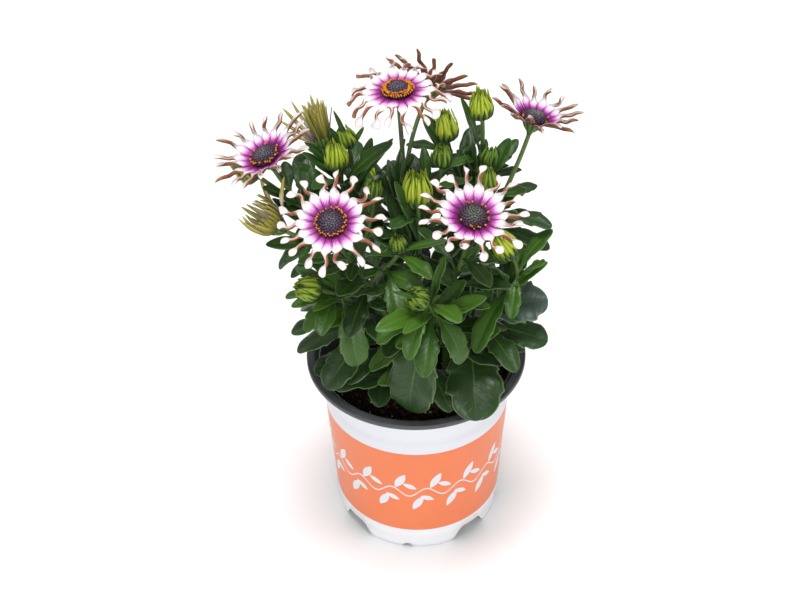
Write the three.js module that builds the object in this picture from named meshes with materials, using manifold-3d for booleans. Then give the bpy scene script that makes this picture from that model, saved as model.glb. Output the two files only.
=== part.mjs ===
// Osteospermum with spooned petals, growing in a round plastic pot.
//
// Units are millimetres, +Z is up. The origin is the centre of the pot's base, on the surface that the
// pot stands on, and -Y is the front. The pot is one thermoformed shell that holds a plug of peat. Twelve
// leafy stems stand in plain holes in the peat. Each stem forks into stalks, and each stalk ends in a
// flower or a bud. A flower is a ring of petals on the green cup that ends its stalk, with a disc of
// florets on top.
import * as THREE from "three";
import { mergeVertices } from "three/addons/utils/BufferGeometryUtils.js";
import Module from "manifold-3d";

const wasm = await Module();
wasm.setup();

// ---------------------------------------------------------------- driving dimensions

const SEAT_GAP = 0.3;
const POT = {
  height: 110.4,
  rimRadius: 60,
  rimInnerRadius: 55,
  rimDepth: 2.9,
  shoulder: 104.5,
  wallRadius: 52.5,
  baseRadius: 46.6,
  wall: 1.6,
  floorTop: 6.4,
  floorUnderside: 5,
  footRadius: 12,
  notchCount: 4,
  notchHeight: 4.6,
  notchHalfWidth: 12,
  notchAngle: -52,
  drainCount: 6,
  drainRadius: 3,
  drainCircle: 30,
  sides: 28,
};
const SOIL = { top: 95, bump: 1.3, rings: [49.6, 41, 29, 14], sectors: 16, holeRadius: 2.7 };
const STEM = { radius: 1.75, stalkRadius: 1.35, foot: 87, fork: 103, sides: 5, step: 12.5 };

// Open flowers: the ring of petals round its hub, the disc of florets on it, and the green cup under it.
// The petals' lengths follow each other from the hub out, and each ends at the half width in its place.
const PETAL = {
  hubRadius: 6.5,
  hubTop: 0.3,
  hubUnder: 0.9,
  thickness: 0.8,
  lengths: [5.2, 4.3, 4.9, 2.7, 2.6],
  halfWidths: [1.75, 0.65, 0.7, 1.85, 0],
  curl: 1.6,
};
const DISC = { radius: 7, height: 3.6, florets: 12 };
const CUP = { depth: 8, radius: 6.1, top: 1.2, sides: 8 };
const CLOSING = {
  hubRadius: 3.6,
  hubHeight: 1.4,
  cupDepth: 3,
  cupRadius: 4.2,
  shares: [0.35, 0.8],
  halfWidths: [1.25, 0.8],
  thickness: 0.9,
};

// Leaf outlines from the narrow stalk to the tip: share of the rib, and share of the half width. The
// larger leaves have a tooth and a notch on each side.
const OUTLINES = {
  broad: [[0.28, 0.24], [0.46, 0.86], [0.54, 0.74], [0.72, 1], [0.92, 0.66]],
  toothed: [[0.44, 0.8], [0.52, 0.67], [0.76, 1]],
  slim: [[0.42, 0.74], [0.76, 1]],
};
const LEAF = { stalk: 0.85, thickness: 0.9, fold: 0.2, sunk: 0.12, room: 1.2, furthest: 72 };

// Flowers and buds. at is the middle of a flower's hub, or the foot of a bud, and axis is the way it
// faces. cup is how far the petals rise from flat and bend how far their tips turn down again, in degrees.
// bare is the leafless length of the stalk, and size the petals' share of full length.
const FLOWERS = {
  flower_front_left: {
    at: [-39, -38, 224], axis: [-0.1, -0.46, 0.88], petals: 18, cup: 8, bend: 14, bare: 26, size: 1,
  },
  flower_front_right: {
    at: [28, -34, 223.5], axis: [0.08, -0.33, 0.94], petals: 18, cup: 10, bend: 16, bare: 26, size: 1,
  },
  flower_left: {
    at: [-72, 0, 237], axis: [-0.36, -0.15, 0.92], petals: 17, cup: 12, bend: 10, bare: 42, size: 1,
  },
  flower_top: {
    at: [-7, 8, 267.5], axis: [-0.05, -0.05, 1], petals: 18, cup: 6, bend: 34, bare: 56, size: 1,
  },
  flower_top_back: {
    at: [10, 43, 250], axis: [0.42, 0.66, 0.62], petals: 15, cup: 12, bend: -4, bare: 44, size: 0.9,
  },
  flower_right: {
    at: [60, 20, 244], axis: [0.24, 0.03, 0.97], petals: 16, cup: 22, bend: -4, bare: 64, size: 0.86,
  },
};
const CLOSING_FLOWERS = {
  flower_closed: { at: [-45, 29, 226], axis: [-0.24, 0.03, 0.97], petals: 11, cup: 82, length: 27 },
  flower_fading: { at: [-67, -12, 203], axis: [-0.76, 0, 0.62], petals: 12, cup: 66, length: 24 },
};
const BUDS = {
  bud_back_left: { at: [-38, 15, 219], axis: [-0.1, 0, 1], length: 16, radius: 5.8, bracts: 11 },
  bud_back_left_far: { at: [-33, 31, 222], axis: [-0.25, 0, 0.97], length: 12, radius: 5, bracts: 11 },
  bud_top_right: { at: [17, 25, 229], axis: [-0.1, 0, 1], length: 17, radius: 5.9, bracts: 11 },
  bud_highest: { at: [35, 30, 238], axis: [-0.1, 0, 1], length: 17, radius: 5.6, bracts: 11, bare: 24 },
  bud_centre: { at: [2, -8, 212], axis: [-0.03, 0, 1], length: 20, radius: 6.7, bracts: 11 },
  bud_green: { at: [14, 10, 223], axis: [0, 0, 1], length: 12, radius: 4.9, bracts: 9 },
  bud_low_right: { at: [49, -15, 185], axis: [-0.5, 0, 0.85], length: 18, radius: 6, bracts: 11 },
  bud_low_left: { at: [-48, -32, 179], axis: [-0.7, -0.45, 0.55], length: 14, radius: 6, bracts: 11 },
  bud_front: { at: [4, -47, 183], axis: [-0.45, -0.5, 0.75], length: 13, radius: 5.4, bracts: 10 },
  bud_small_front: { at: [-8, -25, 198], axis: [0, -0.2, 0.98], length: 10, radius: 4, bracts: 8 },
  bud_small_middle: { at: [-20, -2, 212], axis: [0.05, 0, 1], length: 12, radius: 4.4, bracts: 8 },
  bud_left: { at: [-77, 6, 221], axis: [-0.75, 0, 0.66], length: 15, radius: 6, bracts: 11 },
  bud_behind_right: { at: [37, 10, 206], axis: [0, 0, 1], length: 15, radius: 5.4, bracts: 10 },
  bud_round_right: { at: [38, 21, 216], axis: [0.1, 0, 1], length: 11, radius: 4.6, bracts: 8 },
  bud_rear_left: { at: [-24, 53, 182], axis: [-0.2, 0.4, 0.9], length: 15, radius: 5.6, bracts: 9 },
  bud_rear_right: { at: [30, 54, 174], axis: [0.2, 0.4, 0.9], length: 16, radius: 5.8, bracts: 9 },
};
const HEADS = { ...FLOWERS, ...CLOSING_FLOWERS, ...BUDS };

// Leafy stems. The first branch rises from the root, and each other one leaves it at the share from of
// its length. big lists the largest leaves: the share of the first branch where each grows, its tip, its
// width, and its droop and roll in degrees.
const STEMS = {
  stem_front_left: {
    root: [-8, -10],
    branches: [
      { to: "flower_front_left" },
      { from: 0.5, to: "bud_small_front" },
      { from: 0.58, to: "bud_small_middle" },
    ],
  },
  stem_low_left: {
    root: [-17, -7],
    branches: [{ to: "bud_low_left" }],
    big: [
      { share: 0.36, tip: [-47, -38, 117], width: 17, droop: 55, roll: -12 },
      { share: 0.8, tip: [-30, -42, 137], width: 14, droop: 70, roll: 8 },
      { share: 0.5, tip: [-64, -28, 147], width: 15, droop: 40, roll: 10 },
      { share: 0.78, tip: [-16, -37, 180], width: 11, droop: 20, roll: -10 },
      { share: 0.84, tip: [-55, -42, 160], width: 10, droop: 40, roll: 0 },
      { share: 0.72, tip: [-66, -23, 167], width: 11, droop: 35, roll: 12 },
    ],
  },
  stem_front: {
    root: [0, -19],
    branches: [{ to: "bud_front" }],
    big: [
      { share: 0.62, tip: [-3.5, -50, 112], width: 23, droop: 62, roll: -4 },
      { share: 0.8, tip: [23, -52, 147], width: 13, droop: 60, roll: 6 },
      { share: 0.8, tip: [-19, -56, 164], width: 11, droop: 40, roll: 4 },
      { share: 0.84, tip: [36, -50, 181], width: 10, droop: 24, roll: -8 },
      { share: 0.45, tip: [-24, -37, 129], width: 12, droop: 40, roll: 0 },
      { share: 0.92, tip: [-4, -66, 162], width: 9, droop: 60, roll: 0 },
      { share: 0.86, tip: [15, -38, 203], width: 8, droop: 12, roll: 0 },
    ],
  },
  stem_centre: { root: [1, -8], branches: [{ to: "bud_centre" }] },
  stem_front_right: { root: [9, -13], branches: [{ to: "flower_front_right" }] },
  stem_low_right: {
    root: [18, -9],
    branches: [{ to: "bud_low_right" }],
    big: [
      { share: 0.3, tip: [30, -59, 113], width: 25, droop: 50, roll: -6 },
      { share: 0.38, tip: [69, -22, 134], width: 18, droop: 30, roll: 14 },
      { share: 0.52, tip: [69, -12, 154], width: 21, droop: 24, roll: 16 },
      { share: 0.72, tip: [30, -45, 147], width: 11, droop: 60, roll: 4 },
      { share: 0.86, tip: [48, -35, 161], width: 8, droop: 60, roll: 0 },
      { share: 0.8, tip: [65, -21, 186], width: 8, droop: 18, roll: 6 },
    ],
  },
  stem_left: {
    root: [-14, 2],
    branches: [
      { to: "flower_left" },
      { from: 0.55, to: "flower_fading" },
      { from: 0.66, to: "bud_left" },
    ],
  },
  stem_back_left: {
    root: [-9, 11],
    branches: [
      { to: "flower_closed" },
      { from: 0.55, to: "bud_back_left" },
      { from: 0.62, to: "bud_back_left_far" },
    ],
  },
  stem_middle: { root: [-2, 1], branches: [{ to: "flower_top" }, { from: 0.5, to: "bud_green" }] },
  stem_right: {
    root: [16, 1],
    branches: [
      { to: "flower_right" },
      { from: 0.55, to: "bud_behind_right" },
      { from: 0.6, to: "bud_round_right" },
    ],
    big: [
      { share: 0.66, tip: [69, -6, 196], width: 10, droop: 40, roll: 8 },
      { share: 0.58, tip: [69, -4, 181], width: 11, droop: 45, roll: 10 },
    ],
  },
  stem_back_right: {
    root: [8, 12],
    branches: [{ to: "bud_highest" }, { from: 0.55, to: "bud_top_right" }],
  },
  stem_back: {
    root: [-1, 20],
    branches: [
      { to: "flower_top_back" },
      { from: 0.4, to: "bud_rear_left" },
      { from: 0.32, to: "bud_rear_right" },
    ],
  },
};

// How leaves follow each other up a branch. turn and spread are in degrees. Pairs are the values at the
// peat and at the height of the buds, and for droop those of the smallest leaf and of one of fullSize.
const GROWTH = {
  turn: 137.5,
  spacing: [18, 9],
  size: [47, 31],
  spread: [78, 50],
  droop: [0.35, 0.9],
  fullSize: 46,
  sag: 0.32,
  broadFrom: 45,
  toothedFrom: 31,
  widthShare: 0.37,
  low: 98,
  span: 120,
  lean: 0.35,
  bareUnderBud: 3,
  bareUnderClosing: 14,
};

// ---------------------------------------------------------------- small helpers

const degrees = THREE.MathUtils.degToRad;
const point = (a) => new THREE.Vector3(...a);
const onCircle = (radius, angle, z = 0) => point([radius * Math.cos(angle), radius * Math.sin(angle), z]);
const mix = (a, b, share) => a + (b - a) * share;
const times = (count, make) => Array.from({ length: count }, (_, i) => make(i));
const UP = point([0, 0, 1]);

// The same draw for the same number, from 0 to 1.
function draw(n) {
  const wave = Math.sin(n * 12.9898 + 4.1414) * 43758.5453;
  return wave - Math.floor(wave);
}

// A closed geometry as a manifold-3d solid.
function solid(geometry) {
  const bare = geometry.index ? geometry.toNonIndexed() : geometry.clone();
  bare.deleteAttribute("normal");
  bare.deleteAttribute("uv");
  const merged = mergeVertices(bare, 1e-4);
  return new wasm.Manifold(
    new wasm.Mesh({
      numProp: 3,
      vertProperties: new Float32Array(merged.attributes.position.array),
      triVerts: new Uint32Array(merged.index.array),
    }),
  );
}

// A solid as a geometry.
function geometryOf(body) {
  const mesh = body.getMesh();
  const positions = new Float32Array(mesh.numVert * 3);
  for (let i = 0; i < mesh.numVert; i++) {
    positions.set(mesh.vertProperties.subarray(i * mesh.numProp, i * mesh.numProp + 3), i * 3);
  }
  return new THREE.BufferGeometry()
    .setAttribute("position", new THREE.BufferAttribute(positions, 3))
    .setIndex(new THREE.BufferAttribute(new Uint32Array(mesh.triVerts), 1));
}

const joined = (geometries) => geometryOf(wasm.Manifold.union(geometries.map(solid)));
const cut = (geometry, tools) =>
  geometryOf(solid(geometry).subtract(wasm.Manifold.union(tools.map(solid))));

// Triangles given as lists of three points.
function fromTriangles(triangles) {
  const numbers = triangles.flat().flatMap((p) => [p.x, p.y, p.z]);
  return new THREE.BufferGeometry().setAttribute("position", new THREE.Float32BufferAttribute(numbers, 3));
}

// A solid of revolution about Z, from an outline of [radius, height] pairs.
function turned(outline, sides) {
  const points = outline.map((pair) => new THREE.Vector2(...pair));
  return new THREE.LatheGeometry(points, sides).rotateX(Math.PI / 2);
}

// The skin over rings of points, from a point under the first ring up to the last ring, or to a crown
// over it.
function skin(rings, foot, crown) {
  const triangles = [];
  rings[0].forEach((_, k) => {
    const next = (k + 1) % rings[0].length;
    triangles.push([foot, rings[0][next], rings[0][k]]);
    rings.slice(1).forEach((upper, i) => {
      const lower = rings[i];
      triangles.push([lower[k], lower[next], upper[next]], [lower[k], upper[next], upper[k]]);
    });
    if (crown) triangles.push([rings.at(-1)[k], rings.at(-1)[next], crown]);
  });
  return triangles;
}

// The skin between two sections of a blade. A section is a ring of points that starts at the left edge
// and runs over the top. Both faces are split along the same diagonals, so a waved blade never crosses
// itself.
function strip(a, b) {
  return a.flatMap((_, i) => {
    const j = (i + 1) % a.length;
    if (i % 2) return [[a[i], a[j], b[i]], [a[j], b[j], b[i]]];
    return [[a[i], a[j], b[j]], [a[i], b[j], b[i]]];
  });
}

// A blade's skin over its sections, from an open root to its tip.
function openBlade(sections, tip) {
  const strips = sections.slice(1).flatMap((section, i) => strip(sections[i], section));
  const last = sections.at(-1);
  return [...strips, ...last.map((p, i) => [p, last[(i + 1) % last.length], tip])];
}

// A blade whose root is closed.
function blade(sections, tip) {
  const root = sections[0];
  return [...root.slice(2).map((p, i) => [root[0], p, root[i + 1]]), ...openBlade(sections, tip)];
}

// A frame whose z axis is the given direction.
function facing(direction) {
  const z = direction.clone().normalize();
  const x = new THREE.Vector3(0, 1, 0).cross(z).normalize();
  return new THREE.Matrix4().makeBasis(x, z.clone().cross(x), z);
}

// A head's own frame: its origin at the head, its z axis the way that the head faces.
const headFrame = (head) => facing(point(head.axis)).setPosition(point(head.at));

// ---------------------------------------------------------------- pot and peat

function potShell() {
  const { height, rimRadius: rim, rimDepth, shoulder, wallRadius, wall, baseRadius: base } = POT;
  const { floorTop, floorUnderside, footRadius } = POT;
  const underside = [
    [0, 0], [footRadius, 0], [footRadius + 3, floorUnderside], [base - 4.6, floorUnderside], [base - 3, 0],
  ];
  const outside = [
    [base - 0.6, 0], [base, 1], [wallRadius, shoulder], [wallRadius + 0.9, height - rimDepth],
    [rim, height - rimDepth], [rim, height - 0.6], [rim - 0.6, height],
  ];
  const inside = [
    [POT.rimInnerRadius, height], [wallRadius - wall, shoulder - 0.4], [base - wall, floorTop + 1.6],
    [base - wall - 1.6, floorTop], [0, floorTop],
  ];
  return turned([...underside, ...outside, ...inside], POT.sides);
}

// An arched notch through the foot ring, as a bar that lies along the radius.
function footNotch(index) {
  const { notchHalfWidth: half, notchHeight } = POT;
  const arch = new THREE.Shape();
  arch.moveTo(-half, -1);
  arch.lineTo(half, -1);
  arch.quadraticCurveTo(half * 0.75, notchHeight, 0, notchHeight);
  arch.quadraticCurveTo(-half * 0.75, notchHeight, -half, -1);
  const bar = new THREE.ExtrudeGeometry(arch, { depth: 12, bevelEnabled: false, curveSegments: 4 });
  const angle = degrees(POT.notchAngle + (index * 360) / POT.notchCount);
  return bar.rotateX(Math.PI / 2).translate(0, 9 - POT.baseRadius, 0).rotateZ(angle);
}

function drainHole(index) {
  const hole = new THREE.CylinderGeometry(POT.drainRadius, POT.drainRadius, 6, 6).rotateX(Math.PI / 2);
  const { x, y } = onCircle(POT.drainCircle, (index / POT.drainCount) * 2 * Math.PI);
  return hole.translate(x, y, POT.floorTop - 1);
}

function potGeometry() {
  return cut(potShell(), [...times(POT.notchCount, footNotch), ...times(POT.drainCount, drainHole)]);
}

// A plug of peat that fills the pot, with a crumbly top and a plain hole for each stem.
function peatGeometry() {
  const floor = POT.floorTop + SEAT_GAP;
  const crumb = (i, k) => SOIL.top + (i ? SOIL.bump * (draw(31 * i + k) * 2 - 0.6) : 0);
  const ring = (radius, height) =>
    times(SOIL.sectors, (k) => onCircle(radius, (k / SOIL.sectors) * 2 * Math.PI, height(k)));
  const rings = [
    ring(POT.baseRadius - POT.wall - 2.4, () => floor),
    ...SOIL.rings.map((radius, i) => ring(radius, (k) => crumb(i, k))),
  ];
  const plug = fromTriangles(skin(rings, point([0, 0, floor]), point([0, 0, SOIL.top])));
  const depth = 20;
  const holes = Object.values(STEMS).map(({ root }) =>
    new THREE.CylinderGeometry(SOIL.holeRadius, SOIL.holeRadius, depth, STEM.sides)
      .rotateX(Math.PI / 2)
      .translate(root[0], root[1], STEM.foot - SEAT_GAP + depth / 2),
  );
  return cut(plug, holes);
}

// ---------------------------------------------------------------- stems and stalks

// Where a head's stalk ends: at the foot of a bud, or of the green cup under a flower.
function stalkEnd(to) {
  const back = FLOWERS[to] ? CUP.depth : CLOSING_FLOWERS[to] ? CLOSING.cupDepth : 0;
  return point(HEADS[to].at).addScaledVector(point(HEADS[to].axis).normalize(), -back);
}

// A smooth rise from start, leaving along the given direction and arriving along the head's axis.
function stalkCurve(start, direction, to) {
  const end = stalkEnd(to);
  const span = start.distanceTo(end);
  return new THREE.CubicBezierCurve3(
    start,
    start.clone().addScaledVector(direction, span * 0.38),
    end.clone().addScaledVector(point(HEADS[to].axis).normalize(), -span * 0.34),
    end,
  );
}

// The curves of one stem's branches, the rising one first.
function branchCurves({ root, branches }) {
  const [first, ...others] = branches;
  const rising = stalkCurve(point([...root, STEM.fork]), UP, first.to);
  const forked = ({ from, to }) => stalkCurve(rising.getPoint(from), rising.getTangent(from), to);
  return [rising, ...others.map(forked)];
}

function tube(curve, radius) {
  const section = times(STEM.sides, (k) => onCircle(radius, (k / STEM.sides) * 2 * Math.PI));
  const shape = new THREE.Shape(section.map(({ x, y }) => new THREE.Vector2(x, y)));
  const steps = Math.max(2, Math.round(curve.getLength() / STEM.step));
  return new THREE.ExtrudeGeometry(shape, { steps, extrudePath: curve });
}

// The straight foot of a stem in its hole, joined to its rising branch.
function risingPath({ root }, rising) {
  const path = new THREE.CurvePath();
  path.add(new THREE.LineCurve3(point([...root, STEM.foot]), rising.getPoint(0)));
  path.add(rising);
  return path;
}

// The green cup that ends a flower's stalk.
function cupGeometry(to) {
  const stalk = STEM.stalkRadius;
  const open = [
    [0, -CUP.depth - 1], [stalk, -CUP.depth - 1], [stalk + 0.6, -CUP.depth + 1],
    [CUP.radius - 1, -CUP.top - 2], [CUP.radius, -CUP.top], [0, -CUP.top],
  ];
  const narrow = [
    [0, -CLOSING.cupDepth - 1], [stalk, -CLOSING.cupDepth - 1], [CLOSING.cupRadius, -SEAT_GAP - 0.6],
    [CLOSING.cupRadius, -SEAT_GAP], [0, -SEAT_GAP],
  ];
  return turned(FLOWERS[to] ? open : narrow, CUP.sides).applyMatrix4(headFrame(HEADS[to]));
}

// ---------------------------------------------------------------- leaves

// A leaf from its base to its tip. Its rib is an arc that turns down by droop, roll turns the blade about
// the rib, and the two halves of the blade fold up from the rib a little.
class Leaf {
  constructor({ base, tip, width, droop, roll, outline }) {
    Object.assign(this, { base, tip, droop, half: width / 2, folded: outline === "broad" });
    this.outline = [[0, LEAF.stalk / this.half], ...OUTLINES[outline]];
    this.along = tip.clone().sub(base);
    this.chord = this.along.length();
    this.along.normalize();
    this.side = this.along.clone().cross(UP).normalize().applyAxisAngle(this.along, roll);
    this.normal = this.side.clone().cross(this.along);
    this.radius = this.chord / (2 * Math.sin(droop / 2));
    this.middle = base.clone().lerp(tip, 0.5);
    this.reach = this.chord / 2 + this.half;
    this.lines = this.traced();
  }

  // The point at a share of the rib, and offset to the side.
  point(share, offset = 0) {
    const angle = this.droop * (share - 0.5);
    const forward = this.radius * (Math.sin(angle) + Math.sin(this.droop / 2));
    const rise = this.radius * (Math.cos(angle) - Math.cos(this.droop / 2));
    const lift = Math.abs(offset) * Math.sin(LEAF.fold);
    return this.base
      .clone()
      .addScaledVector(this.along, forward + lift * Math.sin(angle))
      .addScaledVector(this.normal, rise + lift * Math.cos(angle))
      .addScaledVector(this.side, offset * Math.cos(LEAF.fold));
  }

  // Where a point lies about the blade: at what share of the rib, how far to the side, and how far above.
  about(p) {
    const away = p.clone().sub(this.base);
    const bow = Math.sin(this.droop / 2);
    const angle = Math.asin(THREE.MathUtils.clamp(away.dot(this.along) / this.radius - bow, -0.99, 0.99));
    const across = away.dot(this.side);
    const rise = this.radius * (Math.cos(angle) - Math.cos(this.droop / 2));
    const above = away.dot(this.normal) - rise - Math.abs(across) * Math.tan(LEAF.fold);
    return { p, share: angle / this.droop + 0.5, across, above };
  }

  halfWidthAt(share) {
    const ends = [...this.outline, [1, 0]];
    const next = ends.findIndex(([s]) => s > share);
    const [s0, w0] = ends[next - 1];
    const [s1, w1] = ends[next];
    return this.half * mix(w0, w1, (share - s0) / (s1 - s0));
  }

  covers(share, across, room) {
    return share > 0.01 && share < 0.999 && Math.abs(across) < this.halfWidthAt(share) + room;
  }

  // Whether a line of points passes through the blade, or comes nearer to it than room.
  touches(line, room) {
    let before = null;
    for (const p of line) {
      const now = this.about(p);
      if (Math.abs(now.above) < room && this.covers(now.share, now.across, room)) return true;
      if (before && before.above * now.above < 0 && p.distanceTo(before.p) < 8) {
        const at = before.above / (before.above - now.above);
        const across = mix(before.across, now.across, at);
        if (this.covers(mix(before.share, now.share, at), across, room)) return true;
      }
      before = now;
    }
    return false;
  }

  // Lines along both edges and the rib, and across the blade, which are tested for room.
  traced() {
    const steps = Math.ceil(this.chord / 3);
    const shares = times(steps + 1, (i) => mix(LEAF.sunk, 0.998, i / steps));
    const lengthwise = [-1, 0, 1].map((side) =>
      shares.map((share) => this.point(share, side * this.halfWidthAt(share))),
    );
    const crosswise = this.outline.slice(1).map(([share, width]) => {
      const count = Math.ceil((this.half * width) / 1.5);
      return times(count + 1, (i) => this.point(share, this.half * width * mix(-1, 1, i / count)));
    });
    return [...lengthwise, ...crosswise];
  }

  // A large leaf is folded above and below its rib, and a small one is flat above.
  geometry() {
    const sections = this.outline.map(([share, width], i) => {
      const middle = this.point(share);
      const lift = this.normal.clone().multiplyScalar(LEAF.thickness / (i ? 2 : 1.6));
      const left = this.point(share, -this.half * width);
      const right = this.point(share, this.half * width);
      const under = middle.clone().sub(lift);
      return this.folded ? [left, middle.clone().add(lift), right, under] : [left, right, under];
    });
    return fromTriangles(blade(sections, this.tip));
  }
}

// ---------------------------------------------------------------- where the leaves grow

const curves = {};
const stemLines = {};
for (const [name, stem] of Object.entries(STEMS)) {
  curves[name] = branchCurves(stem);
  stemLines[name] = curves[name].map((curve) => curve.getPoints(Math.round(curve.getLength() / 3)));
}

// Whether a point keeps clear of one flower or bud.
function clearOfHead(p, name) {
  const head = HEADS[name];
  const axis = point(head.axis).normalize();
  const away = p.clone().sub(point(head.at));
  const height = away.dot(axis);
  const out = away.addScaledVector(axis, -height).length();
  if (BUDS[name]) return out > head.radius + 1.6 || height < -0.5 || height > head.length + 2;
  if (CLOSING_FLOWERS[name]) {
    const reach = 6 + Math.max(0, height) / Math.tan(degrees(head.cup - 16));
    return out > reach || height < -0.5 || height > head.length + 2;
  }
  if (height < 0 && height > -CUP.depth - 1 && out < CUP.radius + 1.5) return false;
  const level = Math.tan(degrees(head.cup * 0.8)) * Math.max(0, out - 6);
  return out > 29 || Math.abs(height - level) > 5;
}

// Whether a point keeps clear of the pot's rim and of the peat, and within the plant's reach.
function clearOfPot(p) {
  const out = Math.hypot(p.x, p.y);
  if (out > LEAF.furthest) return false;
  const inner = POT.wallRadius - POT.wall - 2;
  if (out < inner) return p.z > SOIL.top + SOIL.bump + 2;
  const share = Math.min(1, (out - inner) / (POT.rimInnerRadius - inner));
  return p.z > mix(POT.shoulder, POT.height, share) + 1.5;
}

const grown = [];

function hasRoom(leaf, stemName) {
  const clear = (p) => clearOfPot(p) && Object.keys(HEADS).every((name) => clearOfHead(p, name));
  if (!leaf.lines.every((line) => line.every(clear))) return false;
  for (const [name, lines] of Object.entries(stemLines)) {
    for (const line of lines) {
      const near = name === stemName ? line.filter((p) => p.distanceTo(leaf.base) > 8) : line;
      if (leaf.touches(near, STEM.radius + LEAF.room)) return false;
    }
  }
  const meets = (a, b) => b.lines.some((line) => a.touches(line, LEAF.room));
  return grown.every(({ leaf: other }) => {
    const apart = leaf.middle.distanceTo(other.middle) > leaf.reach + other.reach + LEAF.room;
    return apart || (!meets(leaf, other) && !meets(other, leaf));
  });
}

// A leaf that the rule proposes. It leaves its branch at a turn about it and at an angle of spread from
// it, and leans out from the middle of the plant.
function proposed({ base, tangent }, size, turn, spread) {
  const lean = point([base.x, base.y + 4, 0]).normalize();
  const along = onCircle(Math.sin(spread), turn, Math.cos(spread))
    .applyMatrix4(facing(tangent))
    .addScaledVector(lean, GROWTH.lean)
    .normalize();
  const droop = mix(...GROWTH.droop, Math.min(1, size / GROWTH.fullSize));
  const side = along.clone().cross(UP).normalize();
  const tip = base.clone().addScaledVector(along.applyAxisAngle(side, -droop * GROWTH.sag), size);
  const outline = size > GROWTH.broadFrom ? "broad" : size > GROWTH.toothedFrom ? "toothed" : "slim";
  return new Leaf({ base, tip, width: size * GROWTH.widthShare, droop, roll: 0, outline });
}

// Places for leaves up a branch, smaller and closer towards its head.
function places(stemName, branch, seed) {
  const curve = curves[stemName][branch];
  const { to } = STEMS[stemName].branches[branch];
  const length = curve.getLength();
  const bare = HEADS[to].bare ?? (BUDS[to] ? GROWTH.bareUnderBud : GROWTH.bareUnderClosing);
  const end = length - bare;
  const found = [];
  let along = (branch ? 9 : 1) + 5 * draw(seed);
  for (let i = 0; along < end; i++) {
    const base = curve.getPointAt(along / length);
    const tangent = curve.getTangentAt(along / length);
    const height = THREE.MathUtils.clamp((base.z - GROWTH.low) / GROWTH.span, 0, 1);
    const young = THREE.MathUtils.clamp((end - along) / 30, 0, 1);
    const size = mix(...GROWTH.size, height) * mix(0.68, 1, young) * mix(0.88, 1.12, draw(seed + i * 7.3));
    const turn = i * degrees(GROWTH.turn) + seed;
    found.push({ stemName, base, tangent, size, turn, spread: mix(...GROWTH.spread, height) });
    along += mix(...GROWTH.spacing, height);
  }
  return found;
}

// Each leaf takes the first size, turn and spread that finds room.
function grow(place) {
  for (const scale of [1, 0.86, 0.72, 0.6]) {
    for (const aside of [0, 20, -20, 40, -40, 60, -60, 85, -85, 110, -110]) {
      for (const wider of [0, 14, -14, -28]) {
        const turn = place.turn + degrees(aside);
        const leaf = proposed(place, place.size * scale, turn, degrees(place.spread + wider));
        if (hasRoom(leaf, place.stemName)) {
          grown.push({ leaf, stemName: place.stemName });
          return;
        }
      }
    }
  }
}

for (const [stemName, { big = [] }] of Object.entries(STEMS)) {
  for (const { share, tip, width, droop, roll } of big) {
    const base = curves[stemName][0].getPoint(share);
    const turns = { droop: degrees(droop), roll: degrees(roll) };
    grown.push({ leaf: new Leaf({ base, tip: point(tip), width, ...turns, outline: "broad" }), stemName });
  }
}
const everyPlace = Object.entries(STEMS).flatMap(([name, { branches }], s) =>
  branches.flatMap((_, b) => places(name, b, 1 + s * 3.7 + b * 1.9)),
);
everyPlace.sort((a, b) => b.size - a.size).forEach(grow);

function stemGeometry(name) {
  const [rising, ...others] = curves[name];
  const tubes = [tube(risingPath(STEMS[name], rising), STEM.radius)];
  others.forEach((curve) => tubes.push(tube(curve, STEM.stalkRadius)));
  const cups = STEMS[name].branches.filter(({ to }) => !BUDS[to]).map(({ to }) => cupGeometry(to));
  const leaves = grown.filter(({ stemName }) => stemName === name).map(({ leaf }) => leaf.geometry());
  return joined([...tubes, ...cups, ...leaves]);
}

// ---------------------------------------------------------------- flowers and buds

// One petal's sections beyond the hub. The blade narrows to a neck and opens into a spoon.
function petalSections(turn, slope, bend, stretch) {
  const out = onCircle(1, turn);
  const left = onCircle(1, turn + Math.PI / 2);
  const middle = onCircle(PETAL.hubRadius, turn);
  return PETAL.lengths.map((length, i) => {
    const pitch = slope - (bend * PETAL.curl * i) / (PETAL.lengths.length - 1);
    const [cos, sin] = [Math.cos(pitch), Math.sin(pitch)];
    middle.addScaledVector(out, length * stretch * cos).addScaledVector(UP, length * stretch * sin);
    const thickness = PETAL.halfWidths[i] ? PETAL.thickness : 0;
    const drop = out.clone().multiplyScalar(thickness * sin).addScaledVector(UP, -thickness * cos);
    const edge = left.clone().multiplyScalar(PETAL.halfWidths[i]);
    return [middle.clone().add(edge), middle.clone().sub(edge), middle.clone().add(drop)];
  });
}

// The skin of a hub between two of its rim points, which are a petal's root.
const hubSkin = (top, bottom, [left, right, under]) => [
  [top, right, left],
  [bottom, under, right],
  [bottom, left, under],
];

// The ring of petals: a thin hub whose rim turns into the petals' roots.
function petalRing({ petals, cup, bend, size }, seed) {
  const pitch = (2 * Math.PI) / petals;
  const rim = (k, z = 0) => onCircle(PETAL.hubRadius, (k % petals) * pitch, z);
  const top = point([0, 0, PETAL.hubTop]);
  const bottom = point([0, 0, -PETAL.hubUnder]);
  return fromTriangles(
    times(petals, (k) => {
      const root = [rim(k + 0.5), rim(k ? k - 0.5 : petals - 0.5), rim(k, -PETAL.thickness)];
      const slope = degrees(cup + (draw(seed + k * 3.1) - 0.5) * 12 + (k % 2) * 5);
      const aside = degrees((draw(seed + k * 2.3) - 0.5) * 2.4);
      const stretch = size * (0.94 + 0.1 * draw(seed + k * 5.7));
      const sections = petalSections(k * pitch + aside, slope, degrees(bend), stretch);
      const [tip] = sections.pop();
      return [...hubSkin(top, bottom, root), ...openBlade([root, ...sections], tip)];
    }).flat(),
  );
}

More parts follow.
